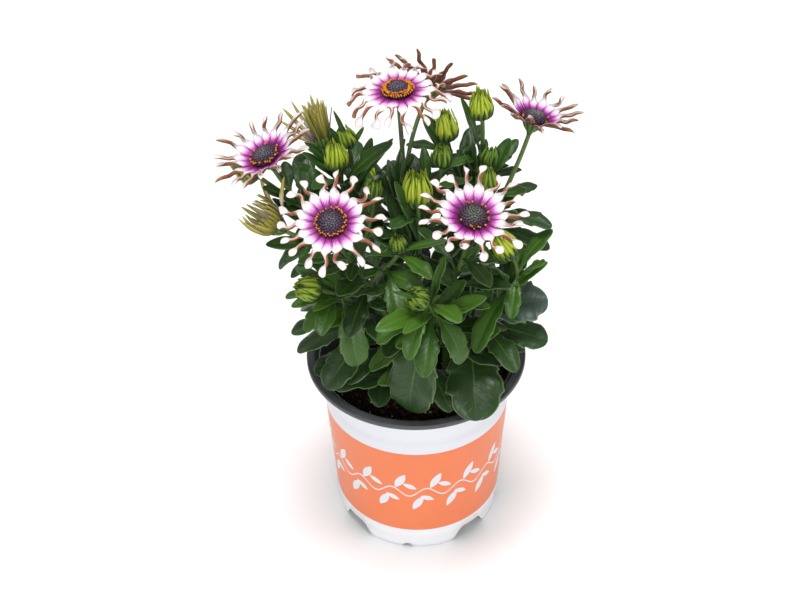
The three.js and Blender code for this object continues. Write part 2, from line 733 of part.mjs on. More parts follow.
// The disc: a dome whose florets stand up as knobs, with a ring of taller ones at its edge.
function discGeometry(seed) {
  const { radius, height, florets } = DISC;
  const base = PETAL.hubTop + SEAT_GAP;
  const levels = [
    [1, 0, 0], [1.03, 0.22, 0], [0.88, 0.62, 0.7], [0.7, 0.62, 0], [0.45, 0.88, 0.35], [0.2, 0.95, -0.3],
  ];
  const rings = levels.map(([share, rise, knob], i) =>
    times(florets, (k) => {
      const stand = knob * (k % 2 ? -1 : 1) * (0.8 + 0.4 * draw(seed + i * 17 + k));
      const angle = ((k + 0.5 * (i % 2)) / florets) * 2 * Math.PI;
      return onCircle(radius * share, angle, base + height * rise + stand);
    }),
  );
  return fromTriangles(skin(rings, point([0, 0, base]), point([0, 0, base + height])));
}

// A closing flower: slim rolled petals that stand up together from a small hub.
function closingRing({ petals, cup, length }, seed) {
  const pitch = (2 * Math.PI) / petals;
  const { hubRadius, hubHeight, shares, halfWidths, thickness } = CLOSING;
  const rim = (k) => onCircle(hubRadius, (k % petals) * pitch, hubHeight / 2);
  const top = point([0, 0, hubHeight]);
  const bottom = point([0, 0, 0]);
  return fromTriangles(
    times(petals, (k) => {
      const turn = k * pitch;
      const slope = degrees(cup - 16 * draw(seed + k * 3.3));
      const reach = length * (0.8 + 0.2 * draw(seed + k * 4.9));
      const along = (share) => {
        const gone = reach * share;
        return onCircle(hubRadius + gone * Math.cos(slope), turn, hubHeight / 2 + gone * Math.sin(slope));
      };
      const sections = shares.map((share, i) => {
        const edge = onCircle(halfWidths[i], turn + Math.PI / 2);
        const rise = onCircle(-thickness * Math.sin(slope), turn, thickness * Math.cos(slope));
        return [along(share).add(edge), along(share).sub(edge), along(share).sub(rise)];
      });
      const root = [rim(k + 0.5), rim(k ? k - 0.5 : petals - 0.5), onCircle(hubRadius, turn, 0.1)];
      return [...hubSkin(top, bottom, root), ...openBlade([root, ...sections], along(1))];
    }).flat(),
  );
}

// A bud: bracts that stand side by side round a hollow top and end in free points.
function budGeometry({ length, radius, bracts }, seed) {
  const groove = 0.82;
  const levels = [[SEAT_GAP, 1.2 / radius], [length * 0.2, 0.86], [length * 0.66, 0.97]];
  const rings = levels.map(([z, share], i) => {
    const out = (k) => radius * share * (k % 2 || !i ? 1 : groove);
    return times(2 * bracts, (k) => onCircle(out(k), (k / bracts) * Math.PI, z));
  });
  const hollow = point([0, 0, length * 0.6]);
  const lip = rings.at(-1);
  const points = times(bracts, (b) => {
    const [left, ridge, right] = [lip[2 * b], lip[2 * b + 1], lip[(2 * b + 2) % lip.length]];
    const out = radius * (0.42 + 0.3 * draw(seed + b));
    const rise = length * (0.9 + 0.12 * draw(seed + b * 1.7));
    const tip = onCircle(out, ((2 * b + 1) / bracts) * Math.PI, rise);
    return [[left, ridge, tip], [ridge, right, tip], [right, hollow, tip], [hollow, left, tip]];
  });
  return fromTriangles([...skin(rings, point([0, 0, SEAT_GAP])), ...points.flat()]);
}

// ---------------------------------------------------------------- the plant in its pot

const FINISH = {
  pot: { color: 0xf2f3f8, roughness: 0.4 },
  peat: { color: 0x2b1a12, roughness: 0.95 },
  leaf: { color: 0x3d6b2c, roughness: 0.5 },
  petal: { color: 0xf3e6f2, roughness: 0.55 },
  closing: { color: 0xa09a3c, roughness: 0.6 },
  disc: { color: 0x3a2b48, roughness: 0.7 },
  bud: { color: 0x9cb92c, roughness: 0.5 },
};

const plant = new THREE.Group();

function add(name, geometry, finish) {
  geometry.computeVertexNormals();
  const material = new THREE.MeshStandardMaterial({ ...FINISH[finish], metalness: 0 });
  const mesh = new THREE.Mesh(geometry, material);
  mesh.name = name;
  plant.add(mesh);
}

add("pot", potGeometry(), "pot");
add("peat", peatGeometry(), "peat");
Object.keys(STEMS).forEach((name) => add(name, stemGeometry(name), "leaf"));
Object.entries(HEADS).forEach(([name, head], i) => {
  const seed = 11 + i * 6.1;
  const place = headFrame(head);
  if (FLOWERS[name]) {
    add(name + "_petals", petalRing(head, seed).applyMatrix4(place), "petal");
    add(name + "_disc", discGeometry(seed).applyMatrix4(place), "disc");
  } else if (CLOSING_FLOWERS[name]) {
    add(name + "_petals", closingRing(head, seed).applyMatrix4(place), "closing");
  } else {
    add(name, budGeometry(head, seed).applyMatrix4(place), "bud");
  }
});

export default plant;
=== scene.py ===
# %% [markdown]
# # A potted osteospermum
#
# This notebook dresses a simple solid model of an osteospermum, a daisy whose narrow petals end in
# little spoons, growing in a round nursery pot. The solids fix every place and size. Each cell below
# swaps some of them for a finer piece that stands in the same place, and gives it a finish made of
# shader nodes.
#
# The cells work in millimetres, which are easier to read, and turn them to metres when a mesh is
# made.

import math

import bpy
import numpy as np
from mathutils import Matrix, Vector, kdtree, noise


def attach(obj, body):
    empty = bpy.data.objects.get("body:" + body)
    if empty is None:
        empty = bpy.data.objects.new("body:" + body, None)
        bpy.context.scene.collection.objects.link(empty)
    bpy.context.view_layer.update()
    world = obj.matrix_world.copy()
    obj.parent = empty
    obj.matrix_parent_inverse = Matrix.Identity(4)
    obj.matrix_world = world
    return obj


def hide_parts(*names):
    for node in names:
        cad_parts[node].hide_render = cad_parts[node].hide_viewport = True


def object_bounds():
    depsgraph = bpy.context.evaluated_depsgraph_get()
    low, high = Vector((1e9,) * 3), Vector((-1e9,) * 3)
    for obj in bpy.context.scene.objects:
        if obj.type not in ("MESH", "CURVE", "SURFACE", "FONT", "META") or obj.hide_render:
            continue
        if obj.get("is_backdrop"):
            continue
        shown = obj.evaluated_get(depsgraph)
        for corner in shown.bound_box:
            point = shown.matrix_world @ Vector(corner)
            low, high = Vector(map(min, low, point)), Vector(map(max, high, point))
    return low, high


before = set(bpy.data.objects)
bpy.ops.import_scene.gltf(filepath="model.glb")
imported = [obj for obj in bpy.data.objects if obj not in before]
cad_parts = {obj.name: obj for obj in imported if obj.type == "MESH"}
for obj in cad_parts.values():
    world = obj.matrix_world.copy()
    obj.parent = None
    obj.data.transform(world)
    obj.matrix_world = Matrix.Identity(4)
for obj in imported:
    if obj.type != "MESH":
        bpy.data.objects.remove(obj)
cad_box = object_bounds()
MM = 0.001
low_corner, high_corner = ([round(c, 3) for c in corner] for corner in cad_box)
print(len(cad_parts), "solids, from", low_corner, "to", high_corner)

# %% [markdown]
# ## Camera, floor and light
#
# The camera stands in front of the pot, a little over half a metre above the floor, and looks down
# on it. Its lens is a short telephoto one, as for a catalogue picture. The floor is one pale plane
# that is large enough to have no visible edge.

# %% Camera
CAMERA_PLACE = (0, -534, 584)
CAMERA_YAW, CAMERA_PITCH, CAMERA_ROLL = (math.radians(a) for a in (-0.87, 39.39, -1.34))
LENS = 58.5


def unit(vector):
    """The vector with its length made 1."""
    return vector / np.linalg.norm(vector)


def camera_axes(yaw, pitch, roll):
    """Right, up and back of a camera that is turned by yaw, tilted down by pitch, and rolled."""
    forward = np.array([math.sin(yaw) * math.cos(pitch), math.cos(yaw) * math.cos(pitch), -math.sin(pitch)])
    level = np.array([math.cos(yaw), -math.sin(yaw), 0])
    upright = np.cross(level, forward)
    right = level * math.cos(roll) + upright * math.sin(roll)
    return right, np.cross(-forward, right), -forward


camera_data = bpy.data.cameras.new("camera")
camera_data.lens = LENS
camera = bpy.data.objects.new("camera", camera_data)
turn = np.column_stack(camera_axes(CAMERA_YAW, CAMERA_PITCH, CAMERA_ROLL))
camera.matrix_world = Matrix.Translation(np.array(CAMERA_PLACE) * MM) @ Matrix(turn.tolist()).to_4x4()
bpy.context.scene.collection.objects.link(camera)
bpy.context.scene.camera = camera
print("camera", LENS, "mm at", CAMERA_PLACE)

# %% [markdown]
# Soft studio light comes from everywhere at once, and most of it from above the camera, where it
# gives the leaves their gloss and leaves the inside of the plant dark. A plain grey world does the
# first. A sun with a wide disc does the second: its rays are parallel, so the floor is equally bright
# all over, and the width of the disc makes the shadows soft. The floor is a little whiter than the
# pot, and the standard view transform keeps whites white.

# %% Floor and lamps
WORLD_STRENGTH = 0.38
FLOOR_REACH = 40  # in metres
bpy.context.scene.view_settings.view_transform = "Standard"
world = bpy.data.worlds.new("studio")
world.use_nodes = True
world.node_tree.nodes["Background"].inputs["Color"].default_value = (1, 1, 1, 1)
world.node_tree.nodes["Background"].inputs["Strength"].default_value = WORLD_STRENGTH
bpy.context.scene.world = world


def sun(name, towards, width, power):
    """A sun in a direction, as wide as the given angle in degrees."""
    data = bpy.data.lights.new(name, "SUN")
    data.angle, data.energy = math.radians(width), power
    made = bpy.data.objects.new(name, data)
    aim = unit(np.array(towards, float))
    side = unit(np.cross([0, 1, 0.01], aim))
    made.matrix_world = Matrix(np.column_stack([side, np.cross(aim, side), aim]).tolist()).to_4x4()
    bpy.context.scene.collection.objects.link(made)


sun("softbox", (-0.02, -0.02, 1), 24, 2.45)
sun("fill", (0.02, -1, 0.45), 34, 1.15)

floor_mesh = bpy.data.meshes.new("floor")
floor_corners = [(x * FLOOR_REACH, y * FLOOR_REACH, 0) for x, y in ((-1, -1), (1, -1), (1, 1), (-1, 1))]
floor_mesh.from_pydata(floor_corners, [], [(0, 1, 2, 3)])
floor = bpy.data.objects.new("floor", floor_mesh)
bpy.context.scene.collection.objects.link(floor)
floor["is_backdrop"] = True
print("floor and two lamps")

# %% [markdown]
# ## A small kit for finishes
#
# A finish is a material whose nodes work out its colour, roughness and bumps at each point. The class
# below keeps a material's node tree and has one short method for each kind of node, so that a finish
# reads from top to bottom. Patterns hang on the object's own coordinates, and on numbers that the
# mesh carries, such as how far along a leaf a point lies.


# %% Finish kit
class Finish:
    """A material under construction. Each method adds one node and gives its output."""

    def __init__(self, name, **settings):
        self.material = bpy.data.materials.new(name)
        self.material.use_nodes = True
        self.tree = self.material.node_tree
        self.shader = self.tree.nodes["Principled BSDF"]
        for socket, value in settings.items():
            self.shader.inputs[socket.replace("_", " ")].default_value = value
        self.place = self.add("ShaderNodeTexCoord").outputs["Object"]

    def add(self, kind, inputs=None, **properties):
        """A node of a kind. An input is linked when it comes from another node, and set otherwise."""
        made = self.tree.nodes.new(kind)
        for name, value in properties.items():
            setattr(made, name, value)
        for name, value in (inputs or {}).items():
            if isinstance(value, bpy.types.NodeSocket):
                self.tree.links.new(value, made.inputs[name])
            else:
                made.inputs[name].default_value = value
        return made

    def number(self, name):
        """A number that the mesh carries at each point."""
        return self.add("ShaderNodeAttribute", attribute_name=name).outputs["Fac"]

    def maths(self, operation, first, second=0.0, third=0.0):
        """One sum. Each of its numbers is a value or the output of another node."""
        inputs = {0: first, 1: second, 2: third}
        return self.add("ShaderNodeMath", inputs, operation=operation).outputs[0]

    def noise(self, scale, detail=2):
        """A cloudy pattern from 0 to 1, with a scale in waves per metre."""
        inputs = {"Vector": self.place, "Scale": scale, "Detail": detail}
        return self.add("ShaderNodeTexNoise", inputs).outputs["Fac"]

    def steps(self, factor, *stops):
        """A colour that changes along the factor, from stops of (place, colour)."""
        made = self.add("ShaderNodeValToRGB", {"Fac": factor})
        ramp = made.color_ramp.elements
        while len(ramp) < len(stops):
            ramp.new(1)
        for element, (place, colour) in zip(ramp, stops):
            element.position = place
            element.color = (*colour, 1)
        return made.outputs["Color"]

    def smooth(self, value, start, end):
        """0 below start and 1 above end, with an even change between them."""
        inputs = {"Value": value, "From Min": start, "From Max": end}
        return self.add("ShaderNodeMapRange", inputs).outputs["Result"]

    def blend(self, factor, first, second):
        """The first colour where the factor is 0, the second where it is 1."""
        inputs = {0: factor}
        for socket, colour in ((6, first), (7, second)):
            inputs[socket] = colour if isinstance(colour, bpy.types.NodeSocket) else (*colour, 1)
        return self.add("ShaderNodeMix", inputs, data_type="RGBA").outputs[2]

    def colour(self, output):
        self.tree.links.new(output, self.shader.inputs["Base Color"])

    def rough(self, output):
        self.tree.links.new(output, self.shader.inputs["Roughness"])

    def bumps(self, height, distance):
        """Relief of the given depth in millimetres."""
        bump = self.add("ShaderNodeBump", {"Height": height, "Distance": distance * MM})
        self.tree.links.new(bump.outputs["Normal"], self.shader.inputs["Normal"])


studio_floor = Finish("studio_floor", Base_Color=(0.95, 0.95, 0.95, 1), Roughness=0.9)
floor_mesh.materials.append(studio_floor.material)
print("finish kit ready, first used for", studio_floor.material.name)

# %% [markdown]
# ## A small kit for meshes
#
# Most of this plant is made of three things: sheets with two faces, such as leaves and petals, tubes
# that follow a path, such as stems, and small lumps that repeat, such as florets and crumbs of peat.
# `Piece` collects any number of them and turns them into one mesh at the end. A sheet gets a top and
# an underside with a thin rim between them, so every piece is a closed body that could be printed.


# %% Mesh kit
def mix(first, second, share):
    """The value between first and second at the given share."""
    return first + (second - first) * share


def draw(number):
    """The same draw for the same number, from 0 to 1."""
    wave = math.sin(number * 12.9898 + 4.1414) * 43758.5453
    return wave - math.floor(wave)


def eased(places, knots):
    """A smooth line through knots of (place, value), read at the given places."""
    x, y = np.array(knots, float).T
    slopes = np.gradient(y, x)
    k = np.clip(np.searchsorted(x, places, side="right") - 1, 0, len(x) - 2)
    width = x[k + 1] - x[k]
    t = (np.clip(places, x[0], x[-1]) - x[k]) / width
    ends = (2 * t**3 - 3 * t**2 + 1) * y[k] + (3 * t**2 - 2 * t**3) * y[k + 1]
    return ends + width * ((t**3 - 2 * t**2 + t) * slopes[k] + (t**3 - t**2) * slopes[k + 1])


def grid_faces(rows, columns, closed=False):
    """Faces between rows + 1 lines of points. A line has columns + 1 points, or columns if it is closed."""
    line = columns if closed else columns + 1
    start = (np.arange(rows)[:, None] * line + np.arange(columns)[None, :]).ravel()
    across = (np.arange(rows)[:, None] * line + (np.arange(columns) + 1)[None, :] % line).ravel()
    return np.column_stack([start, across, across + line, start + line])


class Piece:
    """One piece of the plant or the pot, gathered in millimetres."""

    def __init__(self, name):
        self.name = name
        self.parts = []
        self.total = 0

    def add(self, points, faces, material=0, **numbers):
        """Points, the faces between them, and the numbers that each point carries."""
        points = np.asarray(points, float).reshape(-1, 3)
        held = {name: np.broadcast_to(np.ravel(value), len(points)) for name, value in numbers.items()}
        self.parts.append((points, np.asarray(faces) + self.total, material, False, held))
        self.total += len(points)

    def join(self, faces, material=0, flat=False):
        """Faces between points that are already there."""
        self.parts.append((np.zeros((0, 3)), faces, material, flat, {}))

    def sheet(self, top, under, material=0, **numbers):
        """A closed sheet between two grids of points. A point on the underside carries under = 1."""
        rows, columns = top.shape[0] - 1, top.shape[1] - 1
        count = (rows + 1) * (columns + 1)
        faces = grid_faces(rows, columns)
        ring = np.arange(count).reshape(rows + 1, columns + 1)
        edge = np.concatenate([ring[0, :-1], ring[:-1, -1], ring[-1, :0:-1], ring[:0:-1, 0]])
        after = np.roll(edge, -1)
        rim = np.column_stack([after, edge, edge + count, after + count])
        points = np.concatenate([top.reshape(-1, 3), under.reshape(-1, 3)])
        held = {}
        for name, value in numbers.items():
            value = np.broadcast_to(value, top.shape[:2]).ravel()
            held[name] = np.concatenate([value, value])
        held["under"] = np.repeat([0.0, 1.0], count)
        self.add(points, np.concatenate([faces, faces[:, ::-1] + count]), material, **held)
        self.join(rim + self.total - 2 * count, material, flat=True)

    def rings(self, points, material=0, **numbers):
        """A closed body through a stack of rings of points, from below to above."""
        count, sides = points.shape[:2]
        self.add(points, grid_faces(count - 1, sides, closed=True), material, **numbers)
        last = self.total - sides + np.arange(sides)
        for end in ((last - (count - 1) * sides)[::-1], last):
            self.join(end[None], material, flat=True)

    def moved(self, axes, place):
        """Moves all that has been gathered so far into a frame of three columns at a place."""
        self.parts = [(points @ axes.T + np.array(place), *rest) for points, *rest in self.parts]

    def tube(self, path, radii, sides, material=0, **numbers):
        """A round tube along a path, closed by a point at each end."""
        radii = np.broadcast_to(radii, len(path))
        ahead = np.gradient(path, axis=0)
        ahead /= np.linalg.norm(ahead, axis=1)[:, None]
        across = np.zeros_like(ahead)
        side = np.cross(ahead[0], [0.31, 0.9, 0.3])
        for i, direction in enumerate(ahead):
            side = unit(side - direction * side.dot(direction))
            across[i] = side
        around = np.linspace(0, 2 * math.pi, sides, endpoint=False)
        cosine, sine = np.cos(around)[None, :, None], np.sin(around)[None, :, None]
        ring = cosine * across[:, None] + sine * np.cross(ahead, across)[:, None]
        points = path[:, None] + ring * radii[:, None, None]
        last = len(path) * sides
        k = np.arange(sides)
        caps = [
            np.column_stack([np.full(sides, last), (k + 1) % sides, k]),
            np.column_stack([np.full(sides, last + 1), last - sides + k, last - sides + (k + 1) % sides]),
        ]
        held = {}
        for name, value in numbers.items():
            value = np.broadcast_to(value, len(path))
            held[name] = np.concatenate([np.repeat(value, sides), value[[0, -1]]])
        points = np.concatenate([points.reshape(-1, 3), path[[0]], path[[-1]]])
        self.add(points, grid_faces(len(path) - 1, sides, closed=True), material, **held)
        self.join(np.concatenate(caps) + self.total - len(points), material)

    def stamp(self, template, places, frames, material=0, **numbers):
        """Copies of one small closed shape, each set at a place in a frame of three columns."""
        points, faces = template
        copies = np.einsum("nij,pj->npi", frames, points) + np.asarray(places)[:, None]
        offsets = (np.arange(len(copies)) * len(points))[:, None, None]
        held = {}
        for name, value in numbers.items():
            held[name] = np.broadcast_to(value, copies.shape[:2]).ravel()
        self.add(copies, (faces[None] + offsets).reshape(-1, faces.shape[1]), material, **held)

    def build(self, finishes, slot, *nodes):
        """Makes the mesh, gives it its finishes, and sets it in the frame in place of the nodes."""
        mesh = bpy.data.meshes.new(self.name)
        points, blocks, materials, flats, numbers = zip(*self.parts)
        faces = [face for block in blocks for face in block.tolist()]
        mesh.from_pydata((np.concatenate(points) * MM).tolist(), [], faces)
        counts = [len(block) for block in blocks]
        mesh.polygons.foreach_set("material_index", np.repeat(materials, counts))
        mesh.polygons.foreach_set("use_smooth", ~np.repeat(flats, counts))
        for name in sorted({name for held in numbers for name in held}):
            values = [held.get(name, np.zeros(len(block))) for held, block in zip(numbers, points)]
            layer = mesh.attributes.new(name, "FLOAT", "POINT")
            layer.data.foreach_set("value", np.concatenate(values).astype(np.float32))
        for finish in finishes:
            mesh.materials.append(finish.material)
        mesh.update()
        made = bpy.data.objects.new(self.name, mesh)
        bpy.context.scene.collection.objects.link(made)
        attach(made, "root")
        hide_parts(*nodes)
        print(f"{self.name}: {sum(len(face) - 2 for face in faces)} triangles")


def turned(profile, sides):
    """Points of a profile of (radius, height) pairs turned about the upright axis."""
    around = np.linspace(0, 2 * math.pi, sides, endpoint=False)
    radius, height = np.array(profile, float).T[..., None]
    return np.stack([radius * np.cos(around), radius * np.sin(around), height + 0 * around], axis=-1)


print("mesh kit ready")

# %% [markdown]
# ## The pot
#
# A thin sheet of plastic is drawn into this pot by vacuum. It is black inside and white outside, and
# the flange at the top is folded over so that its dark side shows. The underside of the foot is given
# the dark plastic too, as painted shade under the arches. Turning one profile about the axis gives the
# whole shell. The fine steps that stiffen the wall are part of the profile, and the foot's arched
# cut-outs lift the lowest points of the wall wherever an arch stands.

# %% Pot shape
POT = dict(height=110.4, rim=60, rim_inner=55, rim_depth=2.9, base=46.6, wall_top=52.5, wall=1.6)
SHOULDER, FLOOR_UNDER, FLOOR_TOP = 104.5, 5, 6.4
POT_SIDES = 240
# The wall steps out by half of each depth above each of these heights
WALL_STEPS = ((8, 0.4), (88.3, 0.45))
# The printed band lies between these heights, where the profile has a ring of points too
BAND_LOW, BAND_HIGH = 15.9, 80.6
# Angle of the first of four arches and of the first of four notches, and their height and half width
ARCH = dict(first=-50.2, high=9.6, half=13.2, flank=8)
NOTCH = dict(first=-97.8, high=2.6, half=3.4, flank=2)


def wall_radius(height):
    """Outer radius of the tapered wall, which steps out a little at two heights."""
    radius = mix(POT["base"], POT["wall_top"], height / SHOULDER)
    return radius - sum(0.5 * depth for level, depth in WALL_STEPS if height < level) + 0.3


def pot_profile():
    """The shell from the middle of its underside out, up, over the rim and down inside."""
    height, rim, rim_inner, rim_depth, base, wall_top, wall = POT.values()
    foot = [(0.05, 0), (12, 0), (15, FLOOR_UNDER), (base - 5, FLOOR_UNDER)]
    foot += [(base - 3.4, 0.6), (base - 2.8, 0), (base - 1, 0)]
    heights = [0.8, 4, 7.8, 8.1, BAND_LOW, 40, 62, BAND_HIGH, 88.1, 88.4, 98, SHOULDER, height - 3.1]
    outside = [(wall_radius(z), z) for z in heights]
    lip = [(rim - 2, height - rim_depth), (rim - 0.4, height - 2.8), (rim, height - 2.4)]
    lip += [(rim, height - 0.9), (rim - 0.25, height - 0.3), (rim - 0.8, height), (rim - 1.4, height - 0.25)]
    lip += [(rim - 2, height - 0.1), (rim_inner + 0.9, height), (rim_inner + 0.3, height - 0.25)]
    inner = [(rim_inner, height - 0.9), (wall_top - wall - 0.1, SHOULDER - 0.4), (base - wall, 8)]
    inner += [(base - wall - 1.6, FLOOR_TOP), (0.05, FLOOR_TOP)]
    return foot + outside + lip + inner


def ramp(share):
    """An even rise from 0 to 1."""
    share = min(1, max(0, share))
    return share * share * (3 - 2 * share)


def cut_height(angle, cut):
    """How far one kind of cut-out, four of which stand round the foot, lifts the wall at an angle."""
    away = abs(math.remainder(angle - math.radians(cut["first"]), math.pi / 2)) * POT["base"]
    return cut["high"] * ramp((cut["half"] - away) / cut["flank"])


def shaped_pot():
    """The pot's profile, and its rings of points with the cut-outs in the foot."""
    profile = pot_profile()
    points = turned(profile, POT_SIDES)
    around = np.linspace(0, 2 * math.pi, POT_SIDES, endpoint=False)
    lifts = np.array([max(cut_height(angle, ARCH), cut_height(angle, NOTCH)) for angle in around])
    for row, (radius, _) in enumerate(profile[:12]):
        if radius > 20:
            most = POT["height"] if radius > POT["base"] - 1.5 else FLOOR_UNDER + 0.1 * row
            points[row, :, 2] = np.maximum(points[row, :, 2], np.minimum(lifts, most) + 0.01 * row)
    return profile, points


pot_rows, pot_points = shaped_pot()
print(len(pot_rows), "rings in the pot's profile, each of", POT_SIDES, "points")

# %% [markdown]
# The outside has a printed band. Orange ink covers it, and a garland of plain white leaves runs along
# its middle. All of it follows two numbers: the angle about the axis, measured as a distance along
# the wall, and the height. Repeating a shape only takes the remainder of that distance by the spacing,
# so one leaf in the nodes becomes a whole row.

# %% Pot finishes
INK = (0.86, 0.205, 0.066)
# The second white, for the foot, is painted light: it makes the lowest part of the wall whiter.
WHITE_PLASTIC, PAINTED_LIGHT_FOOT_WHITE = (0.74, 0.76, 0.81), (0.87, 0.88, 0.91)
BAND_RADIUS = 49.5
GARLAND_WAVES, WAVE_HEIGHT = 16, 3.2
PRINT_SOFTNESS = 0.12
# The garland's leaves: place along one wave as a share of it, height, long and short half, tilt
GARLAND_LEAVES = [
    (0, 58, 6.4, 2.3, 1.1),
    (0.5, 40, 6.4, 2.3, 1.1),
    (0.27, 54, 4.4, 1.7, -0.5),
    (0.77, 44, 4.4, 1.7, -0.5),
]


def printed_wall():
    """White plastic with an inked band, a garland left white in the ink, and a painted lighter white near the
    foot.
    """
    wall = Finish("printed_white_plastic", Roughness=0.34, Specular_IOR_Level=0.5)
    parts = wall.add("ShaderNodeSeparateXYZ", {"Vector": wall.place})
    around = wall.maths("ARCTAN2", parts.outputs["Y"], parts.outputs["X"])
    along = wall.maths("MULTIPLY", around, BAND_RADIUS)
    height = wall.maths("DIVIDE", parts.outputs["Z"], MM)
    spacing = 2 * math.pi * BAND_RADIUS / GARLAND_WAVES

    def near(value, place, reach):
        """1 where a value lies within reach of a place."""
        away = wall.maths("ABSOLUTE", wall.maths("SUBTRACT", value, place))
        return wall.smooth(away, reach + PRINT_SOFTNESS, reach - PRINT_SOFTNESS)

    def oval(centre_along, centre_height, long, wide, tilt):
        """Pointed ovals that repeat along the band, each tilted by an angle."""
        shifted = wall.maths("SUBTRACT", along, centre_along)
        x = wall.maths("SUBTRACT", wall.maths("FLOORED_MODULO", shifted, spacing), spacing / 2)
        y = wall.maths("SUBTRACT", height, centre_height)
        cosine, sine = math.cos(tilt), math.sin(tilt)
        u = wall.maths("ADD", wall.maths("MULTIPLY", x, cosine), wall.maths("MULTIPLY", y, sine))
        v = wall.maths("SUBTRACT", wall.maths("MULTIPLY", y, cosine), wall.maths("MULTIPLY", x, sine))
        u = wall.maths("POWER", wall.maths("ABSOLUTE", wall.maths("DIVIDE", u, long)), 2)
        v = wall.maths("ABSOLUTE", wall.maths("DIVIDE", v, wide))
        return wall.smooth(wall.maths("ADD", u, v), 1.04, 0.96)

    wave = wall.maths("SINE", wall.maths("MULTIPLY", along, 2 * math.pi / spacing))
    vine = wall.maths("SUBTRACT", height, wall.maths("MULTIPLY", wave, WAVE_HEIGHT))
    print_white = near(vine, 49, 0.5)
    for share, *shape in GARLAND_LEAVES:
        print_white = wall.maths("MAXIMUM", print_white, oval(spacing * share, *shape))
    seam = wall.smooth(wall.maths("ABSOLUTE", wall.maths("SUBTRACT", around, math.pi / 2)), 0.045, 0.05)
    band = near(height, (BAND_LOW + BAND_HIGH) / 2, (BAND_HIGH - BAND_LOW) / 2)
    worn = wall.smooth(wall.noise(900, 3), 0.28, 0.3)
    inked = wall.maths("MULTIPLY", wall.maths("MULTIPLY", band, seam), wall.maths("SUBTRACT", 1, print_white))
    inked = wall.maths("MULTIPLY", inked, wall.maths("MULTIPLY_ADD", worn, 0.1, 0.9))
    ink = wall.blend(wall.noise(60), INK, tuple(0.9 * c for c in INK))
    white = wall.blend(wall.noise(25), WHITE_PLASTIC, tuple(0.94 * c for c in WHITE_PLASTIC))
    # Below about 15 mm the white turns lighter: painted light on the foot.
    white = wall.blend(wall.smooth(height, 19, 12), white, PAINTED_LIGHT_FOOT_WHITE)
    wall.colour(wall.blend(inked, white, ink))
    wall.rough(wall.maths("MULTIPLY_ADD", wall.noise(220), 0.14, 0.3))
    wall.bumps(wall.noise(90), 0.25)
    return wall


def dark_plastic_and_underside_shade():
    """The black inside of the sheet, also laid on the underside of the foot as painted shade under the
    arches.
    """
    dark = Finish("dark_plastic_and_underside_shade", Specular_IOR_Level=0.45)
    dark.colour(dark.blend(dark.noise(300, 4), (0.060, 0.062, 0.067), (0.085, 0.087, 0.092)))
    dark.rough(dark.maths("MULTIPLY_ADD", dark.noise(180), 0.2, 0.32))
    dark.bumps(dark.noise(700, 3), 0.05)
    return dark


pot_wall, pot_dark = printed_wall(), dark_plastic_and_underside_shade()
pot = Piece("nursery_pot")
pot_faces = grid_faces(len(pot_rows) - 1, POT_SIDES, closed=True)
ring_of_face = np.arange(len(pot_faces)) // POT_SIDES
foot_edge = next(i for i, (radius, _) in enumerate(pot_rows) if radius == POT["base"] - 1)
under_rim = next(i for i, (_, height) in enumerate(pot_rows) if height > POT["height"] - 3)
# The underside of the foot, the rings before foot_edge, takes the dark finish: painted shade seen through the
# arches, where the real plastic is white.
white = (ring_of_face >= foot_edge) & (ring_of_face < under_rim)
pot.add(pot_points, pot_faces[white], 0)
pot.join(pot_faces[~white], 1)
around_pot = np.arange(POT_SIDES)
pot.join(around_pot[::-1][None], 1, flat=True)
pot.join((around_pot + (len(pot_rows) - 1) * POT_SIDES)[None], 1, flat=True)
pot.build([pot_wall, pot_dark], "pot", "pot")

# %% [markdown]
# ## The peat
#
# Potting peat is a dark crumbly mass with reddish fibres and a few white grains of perlite. The plug
# is turned like the pot, and its top gets a fine grid that noise pushes up and down, first in broad
# swells and then in crumbs. Loose crumbs, grains and fibres lie on it. All of them are drawn from one
# seeded generator, so the peat is the same every time. A crumb is too small for more than the twenty
# faces of an icosahedron, and no two look alike once each is squashed and turned at random.

# %% Peat
PEAT_TOP, PEAT_RADIUS, PEAT_FLOOR = 95, 50.2, 6.8
PEAT_RINGS, PEAT_SECTORS = 48, 180
CRUMBS, GRAINS, FIBRES = 1400, 60, 150
chance = np.random.default_rng(7)


def peat_height(x, y):
    """Height of the peat's surface over a point of the pot."""
    broad = noise.noise((x * 0.06, y * 0.06, 3.1)) * 1.5
    crumbs = noise.noise((x * 0.45, y * 0.45, 7.7)) * 0.9
    grain = noise.noise((x * 1.3, y * 1.3, 1.2)) * 0.5
    return PEAT_TOP + broad + crumbs + grain


def icosahedron():
    """Points and faces of a regular solid with twenty faces."""
    golden = (1 + 5**0.5) / 2
    points = [(-1, golden, 0), (1, golden, 0), (-1, -golden, 0), (1, -golden, 0)]
    points += [(0, -1, golden), (0, 1, golden), (0, -1, -golden), (0, 1, -golden)]
    points += [(golden, 0, -1), (golden, 0, 1), (-golden, 0, -1), (-golden, 0, 1)]
    faces = [(0, 11, 5), (0, 5, 1), (0, 1, 7), (0, 7, 10), (0, 10, 11), (1, 5, 9), (5, 11, 4), (11, 10, 2)]
    faces += [(10, 7, 6), (7, 1, 8), (3, 9, 4), (3, 4, 2), (3, 2, 6), (3, 6, 8), (3, 8, 9), (4, 9, 5)]
    faces += [(2, 4, 11), (6, 2, 10), (8, 6, 7), (9, 8, 1)]
    return np.array(points) / np.linalg.norm(points[0]), np.array(faces)


def random_frames(count, sizes):
    """Frames turned at random, each scaled by its row of three sizes."""
    frames = np.linalg.qr(chance.normal(size=(count, 3, 3)))[0]
    frames[np.linalg.det(frames) < 0] *= -1
    return frames * sizes[:, None, :]


def scattered(count, reach):
    """Places spread over the peat, as x, y and the height of the surface."""
    radius, angle = reach * np.sqrt(chance.random(count)), chance.random(count) * 2 * math.pi
    spots = zip(radius * np.cos(angle), radius * np.sin(angle))
    return np.array([(x, y, peat_height(x, y)) for x, y in spots])


